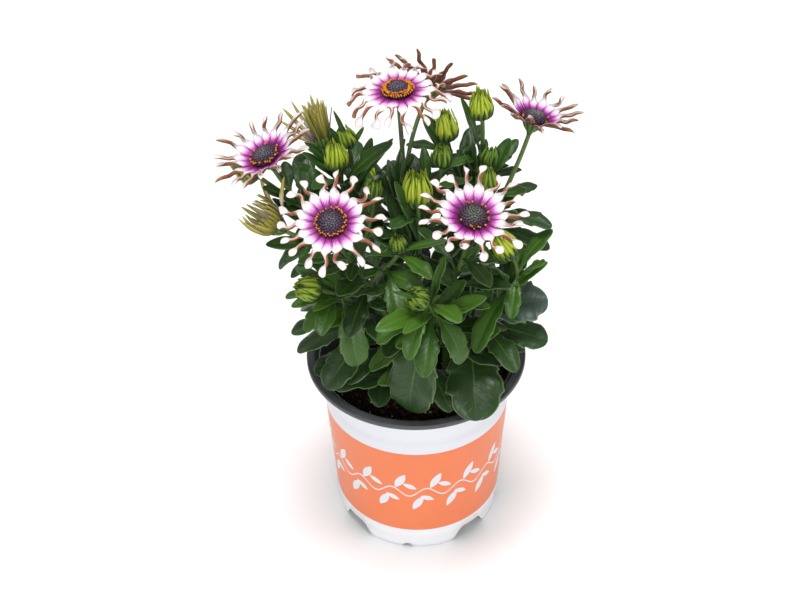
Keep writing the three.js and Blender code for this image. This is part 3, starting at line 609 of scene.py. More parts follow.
peat = Piece("peat_plug")
side = [(0.05, PEAT_FLOOR), (42.4, PEAT_FLOOR), (49.8, 90)]
top = [(PEAT_RADIUS * share, PEAT_TOP) for share in np.linspace(1, 0.012, PEAT_RINGS)]
surface = turned(side + top, PEAT_SECTORS)
for point in surface[len(side):].reshape(-1, 3):
    point[2] = peat_height(point[0], point[1])
peat.rings(surface, shade=0.3)
crumbs = scattered(CRUMBS, 49.6)
sizes = chance.uniform(0.35, 1.5, (CRUMBS, 1)) * chance.uniform(0.6, 1.2, (CRUMBS, 3))
peat.stamp(icosahedron(), crumbs, random_frames(CRUMBS, sizes), shade=chance.random((CRUMBS, 1)))
grains = scattered(GRAINS, 49)
sizes = chance.uniform(0.35, 0.95, (GRAINS, 1)) * chance.uniform(0.8, 1.1, (GRAINS, 3))
peat.stamp(icosahedron(), grains + (0, 0, 0.5), random_frames(GRAINS, sizes), 1)
for x, y, _ in scattered(FIBRES, 48):
    length, turn, curl = chance.uniform(3, 11), chance.uniform(0, 2 * math.pi), chance.normal(0, 1.1)
    share = np.linspace(-0.5, 0.5, 7)
    bend = turn + curl * share
    path = np.column_stack([x + length * share * np.cos(bend), y + length * share * np.sin(bend), share * 0])
    inside = np.minimum(1, 49.6 / np.maximum(1, np.hypot(path[:, 0], path[:, 1])))
    path[:, :2] *= inside[:, None]
    path[:, 2] = [peat_height(px, py) + 0.35 + 0.5 * math.cos(3 * s) for (px, py, _), s in zip(path, share)]
    peat.tube(path, chance.uniform(0.12, 0.3), 5, shade=chance.uniform(0.7, 1.0))

peat_finish = Finish("peat", Roughness=0.95, Specular_IOR_Level=0.25)
tone = peat_finish.maths("MULTIPLY_ADD", peat_finish.noise(700, 4), 0.5, peat_finish.number("shade"))
peat_finish.colour(
    peat_finish.steps(
        tone,
        (0.3, (0.007, 0.0045, 0.0035)),
        (0.62, (0.020, 0.012, 0.009)),
        (0.82, (0.050, 0.024, 0.016)),
        (1.0, (0.11, 0.045, 0.026)),
    )
)
peat_finish.bumps(peat_finish.noise(1800, 3), 0.3)
perlite = Finish("perlite", Base_Color=(0.62, 0.58, 0.5, 1), Roughness=0.9)
perlite.bumps(perlite.noise(2500), 0.1)
peat.build([peat_finish, perlite], "peat", "peat")

# %% [markdown]
# ## The plan of the plant
#
# The solids were grown by a rule: stems rise from the peat, fork into stalks, and carry leaves that
# follow each other at the golden angle. To put a finer leaf exactly where each solid leaf stands, the
# same plan is written out here. The tables name each flower and bud with its place, the way it faces,
# and its size, and then the stems that carry them. `cup` is how far the petals rise from flat, and
# `bend` how far their tips turn down again, in degrees. `bare` is the length of stalk without leaves.


# %% Flowers, buds and stems
def rows_of(names, rows):
    """A table as a dictionary of rows, each with its columns named."""
    return {name: dict(zip(names.split(), row)) for name, row in rows.items()}


FLOWERS = rows_of("at axis petals cup bend bare size", {
    "flower_front_left": ((-39, -38, 224), (-0.1, -0.46, 0.88), 18, 8, 14, 26, 1),
    "flower_front_right": ((28, -34, 223.5), (0.08, -0.33, 0.94), 18, 10, 16, 26, 1),
    "flower_left": ((-72, 0, 237), (-0.36, -0.15, 0.92), 17, 12, 10, 42, 1),
    "flower_top": ((-7, 8, 267.5), (-0.05, -0.05, 1), 18, 6, 34, 56, 1),
    "flower_top_back": ((10, 43, 250), (0.42, 0.66, 0.62), 15, 12, -4, 44, 0.9),
    "flower_right": ((60, 20, 244), (0.24, 0.03, 0.97), 16, 22, -4, 64, 0.86),
})
CLOSING_FLOWERS = rows_of("at axis petals cup length", {
    "flower_closed": ((-45, 29, 226), (-0.24, 0.03, 0.97), 11, 82, 27),
    "flower_fading": ((-67, -12, 203), (-0.76, 0, 0.62), 12, 66, 24),
})
BUDS = rows_of("at axis length radius bracts", {
    "bud_back_left": ((-38, 15, 219), (-0.1, 0, 1), 16, 5.8, 11),
    "bud_back_left_far": ((-33, 31, 222), (-0.25, 0, 0.97), 12, 5, 11),
    "bud_top_right": ((17, 25, 229), (-0.1, 0, 1), 17, 5.9, 11),
    "bud_highest": ((35, 30, 238), (-0.1, 0, 1), 17, 5.6, 11),
    "bud_centre": ((2, -8, 212), (-0.03, 0, 1), 20, 6.7, 11),
    "bud_green": ((14, 10, 223), (0, 0, 1), 12, 4.9, 9),
    "bud_low_right": ((49, -15, 185), (-0.5, 0, 0.85), 18, 6, 11),
    "bud_low_left": ((-48, -32, 179), (-0.7, -0.45, 0.55), 14, 6, 11),
    "bud_front": ((4, -47, 183), (-0.45, -0.5, 0.75), 13, 5.4, 10),
    "bud_small_front": ((-8, -25, 198), (0, -0.2, 0.98), 10, 4, 8),
    "bud_small_middle": ((-20, -2, 212), (0.05, 0, 1), 12, 4.4, 8),
    "bud_left": ((-77, 6, 221), (-0.75, 0, 0.66), 15, 6, 11),
    "bud_behind_right": ((37, 10, 206), (0, 0, 1), 15, 5.4, 10),
    "bud_round_right": ((38, 21, 216), (0.1, 0, 1), 11, 4.6, 8),
    "bud_rear_left": ((-24, 53, 182), (-0.2, 0.4, 0.9), 15, 5.6, 9),
    "bud_rear_right": ((30, 54, 174), (0.2, 0.4, 0.9), 16, 5.8, 9),
})
HEADS = {**FLOWERS, **CLOSING_FLOWERS, **BUDS}

# A stem's root, its branches as (share of the first branch where it leaves, head), and its largest
# leaves as (share of the first branch, tip, width, droop, roll).
STEMS = rows_of("root branches big", {
    "stem_front_left": ((-8, -10), [
        (0, "flower_front_left"), (0.5, "bud_small_front"), (0.58, "bud_small_middle"),
    ], []),
    "stem_low_left": ((-17, -7), [(0, "bud_low_left")], [
        (0.36, (-47, -38, 117), 17, 55, -12), (0.8, (-30, -42, 137), 14, 70, 8),
        (0.5, (-64, -28, 147), 15, 40, 10), (0.78, (-16, -37, 180), 11, 20, -10),
        (0.84, (-55, -42, 160), 10, 40, 0), (0.72, (-66, -23, 167), 11, 35, 12),
    ]),
    "stem_front": ((0, -19), [(0, "bud_front")], [
        (0.62, (-3.5, -50, 112), 23, 62, -4), (0.8, (23, -52, 147), 13, 60, 6),
        (0.8, (-19, -56, 164), 11, 40, 4), (0.84, (36, -50, 181), 10, 24, -8),
        (0.45, (-24, -37, 129), 12, 40, 0), (0.92, (-4, -66, 162), 9, 60, 0),
        (0.86, (15, -38, 203), 8, 12, 0),
    ]),
    "stem_centre": ((1, -8), [(0, "bud_centre")], []),
    "stem_front_right": ((9, -13), [(0, "flower_front_right")], []),
    "stem_low_right": ((18, -9), [(0, "bud_low_right")], [
        (0.3, (30, -59, 113), 25, 50, -6), (0.38, (69, -22, 134), 18, 30, 14),
        (0.52, (69, -12, 154), 21, 24, 16), (0.72, (30, -45, 147), 11, 60, 4),
        (0.86, (48, -35, 161), 8, 60, 0), (0.8, (65, -21, 186), 8, 18, 6),
    ]),
    "stem_left": ((-14, 2), [(0, "flower_left"), (0.55, "flower_fading"), (0.66, "bud_left")], []),
    "stem_back_left": ((-9, 11), [
        (0, "flower_closed"), (0.55, "bud_back_left"), (0.62, "bud_back_left_far"),
    ], []),
    "stem_middle": ((-2, 1), [(0, "flower_top"), (0.5, "bud_green")], []),
    "stem_right": ((16, 1), [
        (0, "flower_right"), (0.55, "bud_behind_right"), (0.6, "bud_round_right"),
    ], [
        (0.66, (69, -6, 196), 10, 40, 8), (0.58, (69, -4, 181), 11, 45, 10),
    ]),
    "stem_back_right": ((8, 12), [(0, "bud_highest"), (0.55, "bud_top_right")], []),
    "stem_back": ((-1, 20), [
        (0, "flower_top_back"), (0.4, "bud_rear_left"), (0.32, "bud_rear_right"),
    ], []),
})
print(len(FLOWERS), "open and", len(CLOSING_FLOWERS), "closing flowers")
print(len(BUDS), "buds and", len(STEMS), "stems")

# %% [markdown]
# A stalk is a cubic curve: it leaves the stem along one direction and arrives along the axis of its
# head. The curve's length is measured in small steps, because leaves are spaced by real distance and
# a curve's own parameter doesn't run evenly along it.

# %% Stalks
UP = np.array([0.0, 0.0, 1.0])
# Heights of a stem's foot in the peat and of the place where its stalks begin
FOOT, FORK = 87, 103
CUP_DEPTH, CLOSING_CUP_DEPTH = 8, 3
# How far a stalk keeps its first and its last direction, as shares of the straight way
FIRST_PULL, LAST_PULL = 0.38, 0.34
STALK_SAMPLES = 201


def rotated(vector, axis, angle):
    """A vector turned about an axis."""
    cosine, sine = math.cos(angle), math.sin(angle)
    return vector * cosine + np.cross(axis, vector) * sine + axis * axis.dot(vector) * (1 - cosine)


def facing(direction):
    """A frame, as three columns, whose third column is the direction."""
    z = unit(np.asarray(direction, float))
    x = unit(np.cross([0, 1, 0], z))
    return np.column_stack([x, np.cross(z, x), z])


class Stalk:
    """The curve from a start, leaving along a direction, to the foot of a head."""

    def __init__(self, start, direction, to):
        axis = unit(np.array(HEADS[to]["axis"], float))
        back = CUP_DEPTH if to in FLOWERS else CLOSING_CUP_DEPTH if to in CLOSING_FLOWERS else 0
        end = np.array(HEADS[to]["at"]) - axis * back
        span = np.linalg.norm(end - start)
        self.knots = [start, start + direction * span * FIRST_PULL, end - axis * span * LAST_PULL, end]
        self.to = to
        points = self.at(np.linspace(0, 1, STALK_SAMPLES))
        self.lengths = np.concatenate([[0], np.cumsum(np.linalg.norm(np.diff(points, axis=0), axis=1))])
        self.length = self.lengths[-1]

    def at(self, t):
        """Points of the curve at its parameter, from 0 to 1."""
        t = np.asarray(t, float)[..., None]
        shares = ((1 - t) ** 3, 3 * (1 - t) ** 2 * t, 3 * (1 - t) * t**2, t**3)
        return sum(share * knot for share, knot in zip(shares, self.knots))

    def direction(self, t):
        """Where the curve heads at its parameter."""
        low, high = max(t - 1e-4, 0), min(t + 1e-4, 1)
        return unit(self.at(high) - self.at(low))

    def after(self, distance):
        """The curve's parameter at a distance from its start."""
        return float(np.interp(distance, self.lengths, np.linspace(0, 1, STALK_SAMPLES)))


def stalks_of(stem):
    """The stalks of one stem: one that rises from the peat, and those that fork from it."""
    (_, first), *others = stem["branches"]
    rising = Stalk(np.array([*stem["root"], FORK], float), UP, first)
    return [rising] + [Stalk(rising.at(share), rising.direction(share), to) for share, to in others]


STALKS = {name: stalks_of(stem) for name, stem in STEMS.items()}
print("stalks up to", round(max(s.length for stalks in STALKS.values() for s in stalks)), "mm long")

# %% [markdown]
# A leaf is laid out on an arc. The rib runs along the arc from the stalk to the tip, and the two
# halves of the blade fold up from it a little. `Leaf` turns a place on the blade, given as a share of
# the rib and an offset to the side, into a point in space.


# %% Leaf frame
class Leaf:
    """A leaf from its base to its tip, as an arc that turns down by droop."""

    def __init__(self, base, tip, width, droop, roll, outline):
        self.base, self.half, self.droop, self.outline = base, width / 2, droop, outline
        self.chord = np.linalg.norm(tip - base)
        self.along = (tip - base) / self.chord
        self.side = rotated(unit(np.cross(self.along, UP)), self.along, roll)
        self.normal = np.cross(self.side, self.along)
        self.radius = self.chord / (2 * math.sin(droop / 2))

    def at(self, share, offset, lift):
        """Points at a share of the rib, offset to the side and lifted off the arc."""
        angle = self.droop * (share - 0.5)
        forward = self.radius * (np.sin(angle) + math.sin(self.droop / 2)) + lift * np.sin(angle)
        rise = self.radius * (np.cos(angle) - math.cos(self.droop / 2)) + lift * np.cos(angle)
        lengths = ((forward, self.along), (rise, self.normal), (offset, self.side))
        return self.base + sum(np.asarray(length)[..., None] * direction for length, direction in lengths)


# Leaves lean away from this place, which lies a little in front of the pot's axis
MIDDLE = np.array([0, -4])
OUTWARD_LEAN = 0.35
LEAST_DROOP, MOST_DROOP = 0.35, 0.9
BROAD_FROM, TOOTHED_FROM = 45, 31


def tilted(turn, tilt):
    """The direction that leans by a tilt from upright, towards a turn about it."""
    return np.array([math.sin(tilt) * math.cos(turn), math.sin(tilt) * math.sin(turn), math.cos(tilt)])


def proposed(base, direction, size, turn, spread):
    """The tip, droop and outline of a leaf that grows from a stalk at a turn about it."""
    lean = unit(np.array([*(base[:2] - MIDDLE), 0]))
    along = unit(facing(direction) @ tilted(turn, spread) + OUTWARD_LEAN * lean)
    droop = mix(LEAST_DROOP, MOST_DROOP, min(1, size / 46))
    tip = base + rotated(along, unit(np.cross(along, UP)), -droop * 0.32) * size
    return tip, droop, "broad" if size > BROAD_FROM else "toothed" if size > TOOTHED_FROM else "slim"


print("leaf frame ready")

# %% [markdown]
# Not every leaf that the rule proposes had room to grow. The solid knows which did: the tip of each
# leaf that grew is a corner of its stem's mesh. So the rule's proposals are tried in order, and the
# first whose tip is there is the one. A k-d tree finds the nearest corner quickly.
#
# The rule gives each number twice, for leaves low on the plant and for leaves at its top, and takes a
# value between them by height. Low leaves are long, stand out from their stalk and lie far apart.

# %% Leaves that grew
TRIES = [(scale, aside, wider) for scale in (1, 0.86, 0.72, 0.6)
         for aside in (0, 20, -20, 40, -40, 60, -60, 85, -85, 110, -110) for wider in (0, 14, -14, -28)]
SAME_PLACE = 0.05
LEAF_TURN = math.radians(137.5)
LOWEST_LEAF, LEAF_RISE = 98, 120
LEAF_LENGTHS, LEAF_SPREADS, LEAF_GAPS = (47, 31), (78, 50), (18, 9)
LEAF_WIDTH = 0.37
# A leaf this near the end of its stalk is younger and shorter than the others
YOUNG_REACH = 30
# Lengths of stalk without leaves under a bud and under a closing flower, and the one bud that has more
BARE, BARE_UNDER_BUD = (3, 14), {"bud_highest": 24}
# How old the leaves of a shoot are, from 0, bright green, to 1, blue-grey, which is partly an old leaf's
# colour and partly a painted reflection of the bright studio. The others are in between
SHOOT_AGES = {"bud_front": 0.05, "bud_low_left": 0.1, "bud_low_right": 0.2, "bud_small_front": 0.2,
              "bud_round_right": 0.3, "bud_green": 0.3}
SHOOT_AGE = 0.5


def corners_of(node):
    """A search tree of a solid's corners, in millimetres."""
    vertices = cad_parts[node].data.vertices
    tree = kdtree.KDTree(len(vertices))
    for index, vertex in enumerate(vertices):
        tree.insert(vertex.co / MM, index)
    tree.balance()
    return tree


def bare_length(to, under_bud, under_closing):
    """How much of a stalk stays bare below its head."""
    if to in FLOWERS:
        return FLOWERS[to]["bare"]
    return under_closing if to in CLOSING_FLOWERS else BARE_UNDER_BUD.get(to, under_bud)


def leaves_along(stalk, first, seed, corners):
    """The leaves that grew along one stalk, each with its age from 0, young, to 1."""
    found = []
    end = stalk.length - bare_length(stalk.to, *BARE)
    along, count = (1 if first else 9) + 5 * draw(seed), 0
    while along < end:
        t = stalk.after(along)
        base, direction = stalk.at(t), stalk.direction(t)
        height = min(1, max(0, (base[2] - LOWEST_LEAF) / LEAF_RISE))
        grown = min(1, max(0, (end - along) / YOUNG_REACH))
        size = mix(*LEAF_LENGTHS, height) * mix(0.68, 1, grown) * mix(0.88, 1.12, draw(seed + count * 7.3))
        turn, spread = count * LEAF_TURN + seed, mix(*LEAF_SPREADS, height)
        for scale, aside, wider in TRIES:
            angles = turn + math.radians(aside), math.radians(spread + wider)
            tip, droop, outline = proposed(base, direction, size * scale, *angles)
            if corners.find(tip)[2] < SAME_PLACE:
                leaf = Leaf(base, tip, size * scale * LEAF_WIDTH, droop, 0, outline)
                leaf.age = mix(SHOOT_AGES.get(stalk.to, SHOOT_AGE), 0.8, grown * (1 - 0.5 * height))
                found.append(leaf)
                break
        along += mix(*LEAF_GAPS, height)
        count += 1
    return found


print(len(TRIES), "sizes and turns to try at each place")

# %% [markdown]
# The solids carry the larger leaves. Near its heads the plant also has younger ones, and the gaps
# between its stems are full of small ones. The first kind is listed by stalk: the share of the stalk
# where the leaf grows, where its tip is, how wide it is, and its droop in degrees. Such a leaf rolls
# about its rib until its face is turned to the light. The second kind follows the rule again, with
# shorter leaves at shorter steps.

# %% Younger leaves
LATER_LEAVES = {
    "flower_left": [
        (0.87, (-64, 8, 229), 8, 30), (0.55, (-58, 4, 200), 8, 35), (0.45, (-48, -8, 199), 8, 35),
        (0.62, (-49, 10, 206), 7, 25), (0.8, (-67, -2, 217), 8, 40), (0.74, (-66, 4, 206), 8, 40),
        (0.78, (-53, 4, 218), 7, 30), (0.68, (-58, 10, 211), 9, 30),
    ],
    "bud_left": [(0.3, (-68, -6, 209), 7, 35), (0.55, (-75, 0, 219), 6, 40)],
    "flower_fading": [
        (0.3, (-71, 2, 211), 6, 35), (0.12, (-75, -10, 191), 8, 35), (0.3, (-66, -16, 184), 7, 50),
    ],
    "bud_back_left_far": [
        (0.8, (-40, 34, 242), 3, 30), (0.65, (-42, 28, 236), 5, 35), (0.93, (-25, 34, 232), 3, 25),
        (0.25, (-21, 30, 228), 7, 25), (0.4, (-10, 26, 230), 5, 55),
    ],
    "flower_closed": [
        (0.93, (-40, 24, 250), 2, 15), (0.8, (-56, 22, 225), 6, 40), (0.72, (-58, 16, 223), 5, 35),
        (0.88, (-55, 24, 230), 5, 40), (0.58, (-53, 14, 209), 7, 35), (0.45, (-35, 12, 214), 8, 25),
    ],
    "bud_back_left": [(0.75, (-45, 12, 233), 5, 30), (0.72, (-10, 8, 239), 9, 50)],
    "bud_rear_left": [(0.6, (-30, 56, 196), 7, 30), (0.8, (-14, 54, 196), 6, 30)],
    "flower_top_back": [
        (0.52, (-4, 16, 236), 8, 30), (0.35, (-8, 36, 214), 6, 50), (0.45, (-20, 26, 216), 6, 30),
        (0.5, (-12, 14, 214), 7, 25), (0.55, (9, 22, 212), 7, 30), (0.6, (-13, 22, 220), 6, 35),
    ],
    "flower_top": [
        (0.7, (-2, -2, 241), 5, 15), (0.68, (-6, 2, 237), 4, 20), (0.72, (1, 4, 234), 4, 25),
        (0.45, (-14, 6, 209), 7, 25), (0.55, (6, 6, 215), 7, 25),
    ],
    "bud_top_right": [(0.5, (5, 22, 246), 9, 25), (0.35, (27, 32, 228), 7, 35), (0.3, (20, 28, 205), 6, 30)],
    "bud_green": [(0.6, (5, 14, 233), 6, 30), (0.3, (16, 4, 207), 6, 30)],
    "bud_centre": [(0.62, (-9, -14, 231), 8, 20), (0.7, (-6, -20, 221), 6, 20)],
    "bud_small_front": [
        (0.92, (-22, -38, 205), 5, 35), (0.92, (16, -30, 207), 5, 40), (0.5, (4, -38, 184), 10, 50),
    ],
    "bud_small_middle": [(0.5, (-15, -14, 204), 5, 40), (0.8, (-29, -8, 213), 5, 25)],
    "bud_highest": [
        (0.84, (24, 28, 252), 5, 25), (0.66, (28, 14, 244), 8, 15), (0.62, (25, 12, 230), 6, 30),
        (0.72, (37, 22, 229), 5, 25), (0.42, (23, 6, 217), 8, 25), (0.5, (36, 40, 208), 6, 30),
    ],
    "bud_round_right": [
        (0.7, (49, 26, 229), 8, 25), (0.75, (54, 36, 222), 7, 35), (0.05, (57, 8, 210), 8, 40),
        (0.3, (48, 20, 203), 6, 30),
    ],
    "bud_low_left": [
        (0.7, (-60, -20, 184), 7, 40), (0.58, (-14, -26, 177), 7, 40), (0.78, (-50, -46, 177), 6, 45),
        (0.84, (-62, -34, 170), 7, 45), (0.5, (-53, -40, 161), 11, 55), (0.45, (-19, -42, 158), 9, 60),
    ],
    "flower_front_left": [(0.72, (-31, -44, 194), 7, 55)],
    "bud_front": [
        (0.12, (-20, -44, 126), 10, 70), (0.8, (-19, -66, 181), 10, 50), (0.72, (-6, -66, 179), 7, 60),
        (0.92, (-11, -58, 198), 3, 40), (0.62, (34, -52, 189), 9, 45), (0.75, (11, -46, 204), 4, 15),
        (0.88, (12, -56, 194), 3, 20), (0.45, (25, -36, 187), 10, 40), (0.42, (-10, -56, 162), 11, 60),
    ],
    "bud_low_right": [
        (0.72, (56, -6, 183), 7, 40), (0.62, (33, -22, 199), 7, 20), (0.6, (67, -16, 182), 7, 40),
        (0.35, (31, -20, 186), 5, 15), (0.12, (43, -34, 153), 14, 60),
    ],
    "flower_front_right": [(0.55, (12, -26, 191), 6, 25), (0.4, (5, -30, 175), 7, 40)],
    "flower_right": [(0.5, (48, -4, 173), 7, 30), (0.42, (56, 8, 152), 8, 40)],
    "bud_rear_right": [(0.5, (22, 52, 182), 6, 30), (0.7, (38, 56, 188), 7, 30)],
    "bud_behind_right": [(0.5, (46, 2, 205), 6, 30), (0.7, (30, 6, 214), 5, 25)],
}
LIGHT_SIDE = unit(np.array([0, -0.63, 0.77]))
# A small leaf stays above this height and this near the pot's axis
SMALL_LEAF_FLOOR, SMALL_LEAF_REACH = 112, 62
SMALL_LEAF_LENGTHS, SMALL_LEAF_SPREADS, SMALL_LEAF_GAPS = (29, 16), (72, 36), (10, 6)
SMALL_LEAF_BARE = (6, 6)
# A big leaf that is this wide and this far to the right is an old one, wide and painted blue-grey: partly
# the old leaf's own colour and partly a painted reflection of the bright studio on it
GREY_WIDTH, GREY_FROM = 20, 60


def later_leaves(stalk):
    """The listed leaves of one stalk."""
    leaves = []
    for share, tip, width, droop in LATER_LEAVES.get(stalk.to, []):
        base, tip = stalk.at(stalk.after(share * stalk.length)), np.array(tip, float)
        droop = math.radians(droop)
        seed = share * 7 + tip[0]
        large = width > 6 and np.linalg.norm(tip - base) > 22
        outline = "toothed" if large else "pointed" if draw(seed) > 0.7 else "slim"
        leaf = Leaf(base, tip, width, droop, 0, outline)
        roll = math.atan2(leaf.side @ LIGHT_SIDE, leaf.normal @ LIGHT_SIDE)
        roll = 0.75 * roll + 0.5 * (draw(seed * 1.3) - 0.5)
        leaf = Leaf(base, tip, width, droop, min(1, max(-1, roll)), outline)
        leaf.age = mix(SHOOT_AGES.get(stalk.to, SHOOT_AGE), 0.75, 0.5 * draw(seed * 1.7))
        leaves.append(leaf)
    return leaves


def small_leaves(stalk, seed):
    """Short leaves along one stalk, up to its bare part or its bud."""
    leaves = []
    end = stalk.length - bare_length(stalk.to, *SMALL_LEAF_BARE)
    along, count = max(12, 0.2 * stalk.length), 0
    while along < end:
        t = stalk.after(along)
        base, share = stalk.at(t), along / end
        size = mix(*SMALL_LEAF_LENGTHS, share) * mix(0.8, 1.25, draw(seed + count * 3.1))
        turn = count * LEAF_TURN + math.radians(61) + seed * 2.3
        spread = math.radians(mix(*SMALL_LEAF_SPREADS, share))
        tip, droop, _ = proposed(base, stalk.direction(t), size, turn, spread)
        if tip[2] > SMALL_LEAF_FLOOR and np.hypot(tip[0], tip[1]) < SMALL_LEAF_REACH:
            leaf = Leaf(base, tip, size * mix(0.28, 0.38, draw(seed + count)), droop * 1.2, 0, "pointed")
            leaf.age = mix(SHOOT_AGES.get(stalk.to, SHOOT_AGE), 0.75, draw(seed + count * 1.9))
            leaves.append(leaf)
        along += mix(*SMALL_LEAF_GAPS, share)
        count += 1
    return leaves


def leaves_of(number, name):
    """All the leaves of one stem."""
    leaves = []
    for share, tip, width, droop, roll in STEMS[name]["big"]:
        base, grey = STALKS[name][0].at(share), width > GREY_WIDTH and tip[0] > GREY_FROM
        width *= 1.2 if grey else 1.16 if width > GREY_WIDTH else 1
        outline = "wide" if grey else "broad"
        leaf = Leaf(base, np.array(tip, float), width, math.radians(droop), math.radians(roll), outline)
        leaf.age = 1 if grey else 0.82 if width > 14 or tip[0] > 68 else 0.25
        leaves.append(leaf)
    corners = corners_of(name)
    for branch, stalk in enumerate(STALKS[name]):
        seed = 1 + number * 3.7 + branch * 1.9
        leaves += leaves_along(stalk, branch == 0, seed, corners)
        leaves += later_leaves(stalk) + small_leaves(stalk, seed)
    return leaves


LEAVES = {name: leaves_of(number, name) for number, name in enumerate(STEMS)}
print(sum(len(leaves) for leaves in LEAVES.values()), "leaves grew on", len(LEAVES), "stems")

# %% [markdown]
# ## Leaf blades
#
# The leaves are spoon-shaped: a narrow foot widens into a rounded blade with a few shallow teeth on
# each side. The outline is a smooth line through a few widths, rounded off at the tip, and a tooth is
# a small outward point followed by a step in. The blade sinks along the rib, bulges between rib and
# margin, and ripples a little at the margin. Each point carries its place along and across the blade,
# which the finish uses for the veins, the pale rib and the pale margin.

# %% Leaf blades
# A blade's grid, where its rounded tip begins and how blunt it is, where its teeth are, how deep they
# are against the others', and its half widths as (share of the rib, share of the largest)
OUTLINES = {
    "broad": dict(
        rows=48, columns=12, round_from=0.66, round_power=0.46, teeth=(0.5, 0.74), tooth_depth=0.85,
        knots=[(0, 0.09), (0.14, 0.12), (0.27, 0.40), (0.40, 0.82), (0.54, 1.0), (0.72, 1.06), (1, 1.0)],
    ),
    "wide": dict(
        rows=48, columns=12, round_from=0.6, round_power=0.5, teeth=(0.56, 0.78), tooth_depth=1,
        knots=[(0, 0.12), (0.08, 0.30), (0.2, 0.76), (0.36, 1.0), (0.6, 1.05), (1, 1.0)],
    ),
    "toothed": dict(
        rows=32, columns=8, round_from=0.55, round_power=0.52, teeth=(0.45, 0.63), tooth_depth=1,
        knots=[(0, 0.13), (0.15, 0.15), (0.3, 0.36), (0.46, 0.8), (0.62, 1), (0.76, 1.06), (1, 1.0)],
    ),
    "pointed": dict(
        rows=26, columns=6, round_from=0.5, round_power=0.66, teeth=(0.44, 0.6), tooth_depth=1,
        knots=[(0, 0.16), (0.18, 0.2), (0.36, 0.5), (0.52, 0.86), (0.66, 1.06), (0.82, 1.06), (1, 0.9)],
    ),
    "slim": dict(
        rows=24, columns=6, round_from=0.5, round_power=0.58, teeth=(0.5,), tooth_depth=0.45,
        knots=[(0, 0.2), (0.16, 0.22), (0.3, 0.42), (0.45, 0.76), (0.62, 1.0), (0.78, 1.1), (1, 1.05)],
    ),
}
BLADE_THICKNESS = 0.45


def half_widths(outline, share, side, seed):
    """Half widths of a blade on one side, as shares of its largest."""
    shape = OUTLINES[outline]
    width = eased(share, shape["knots"])
    beyond = np.clip((share - shape["round_from"]) / (1 - shape["round_from"]), 0, 1)
    width = width * (1.0005 - beyond**2) ** shape["round_power"]
    for number, place in enumerate(shape["teeth"]):
        chosen = draw(seed + number * 5.1 + side * 2.7)
        tooth = place + 0.05 * (chosen - 0.5)
        depth = (0.10 + 0.12 * draw(seed + number * 3.3 + side)) * shape["tooth_depth"]
        step = np.clip((share - tooth) / 0.014, 0, 1) * np.clip(1 - (share - tooth) / 0.13, 0, 1)
        point = np.exp(-(((share - tooth + 0.008) / 0.028) ** 2))
        width = width + depth * (0.45 * point - step) * np.clip(width, 0, 1)
    return width


def add_leaf(piece, leaf, seed):
    """Adds one leaf blade to the piece of its stem."""
    shape = OUTLINES[leaf.outline]
    rows, columns = shape["rows"], shape["columns"]
    share = np.concatenate([np.linspace(0, 0.97, rows - 1), [0.987, 1]])
    across = np.linspace(-1, 1, columns + 1)
    across = np.sign(across) * np.abs(across) ** 0.85
    left, right = (half_widths(leaf.outline, share, side, seed) for side in (0, 1))
    half = leaf.half * np.where(across[None] < 0, left[:, None], right[:, None])
    offset = across[None] * half
    fold = mix(0.38, 0.16, leaf.age) * (np.hypot(offset, 0.5) - 0.5)
    bulge = -0.13 * half * across[None] ** 2 + 0.05 * half * np.sin(math.pi * np.abs(across[None])) ** 2
    phase = 6.3 * draw(seed + 4.4)
    ripple = np.sin(share[:, None] * 17 + phase + 2.1 * np.sign(across[None])) * across[None] ** 2
    wave = (0.075 + 0.05 * draw(seed + 8.8)) * half * ripple
    twist = 0.22 * (draw(seed + 2.2) - 0.5) * offset * np.clip(share[:, None] - 0.2, 0, 1)
    lift = fold + bulge + wave + twist
    side = offset * math.cos(0.2)
    share_grid = np.broadcast_to(share[:, None], offset.shape)
    stout = np.clip(1 - share_grid / 0.3, 0, 1)
    margin = 1 - np.abs(across[None]) ** 6
    rib = np.exp(-((offset / 0.55) ** 2)) * (1 - share_grid)
    thick = (BLADE_THICKNESS + 0.9 * stout) * (0.3 + 0.7 * margin) + 0.5 * rib
    top = leaf.at(share_grid, side, lift + 0.4 * thick - 0.12 * rib)
    under = leaf.at(share_grid, side, lift - 0.6 * thick)
    piece.sheet(top, under, along=share_grid, across=across[None], age=leaf.age, tone=draw(seed + 1.1),
                size=leaf.half)


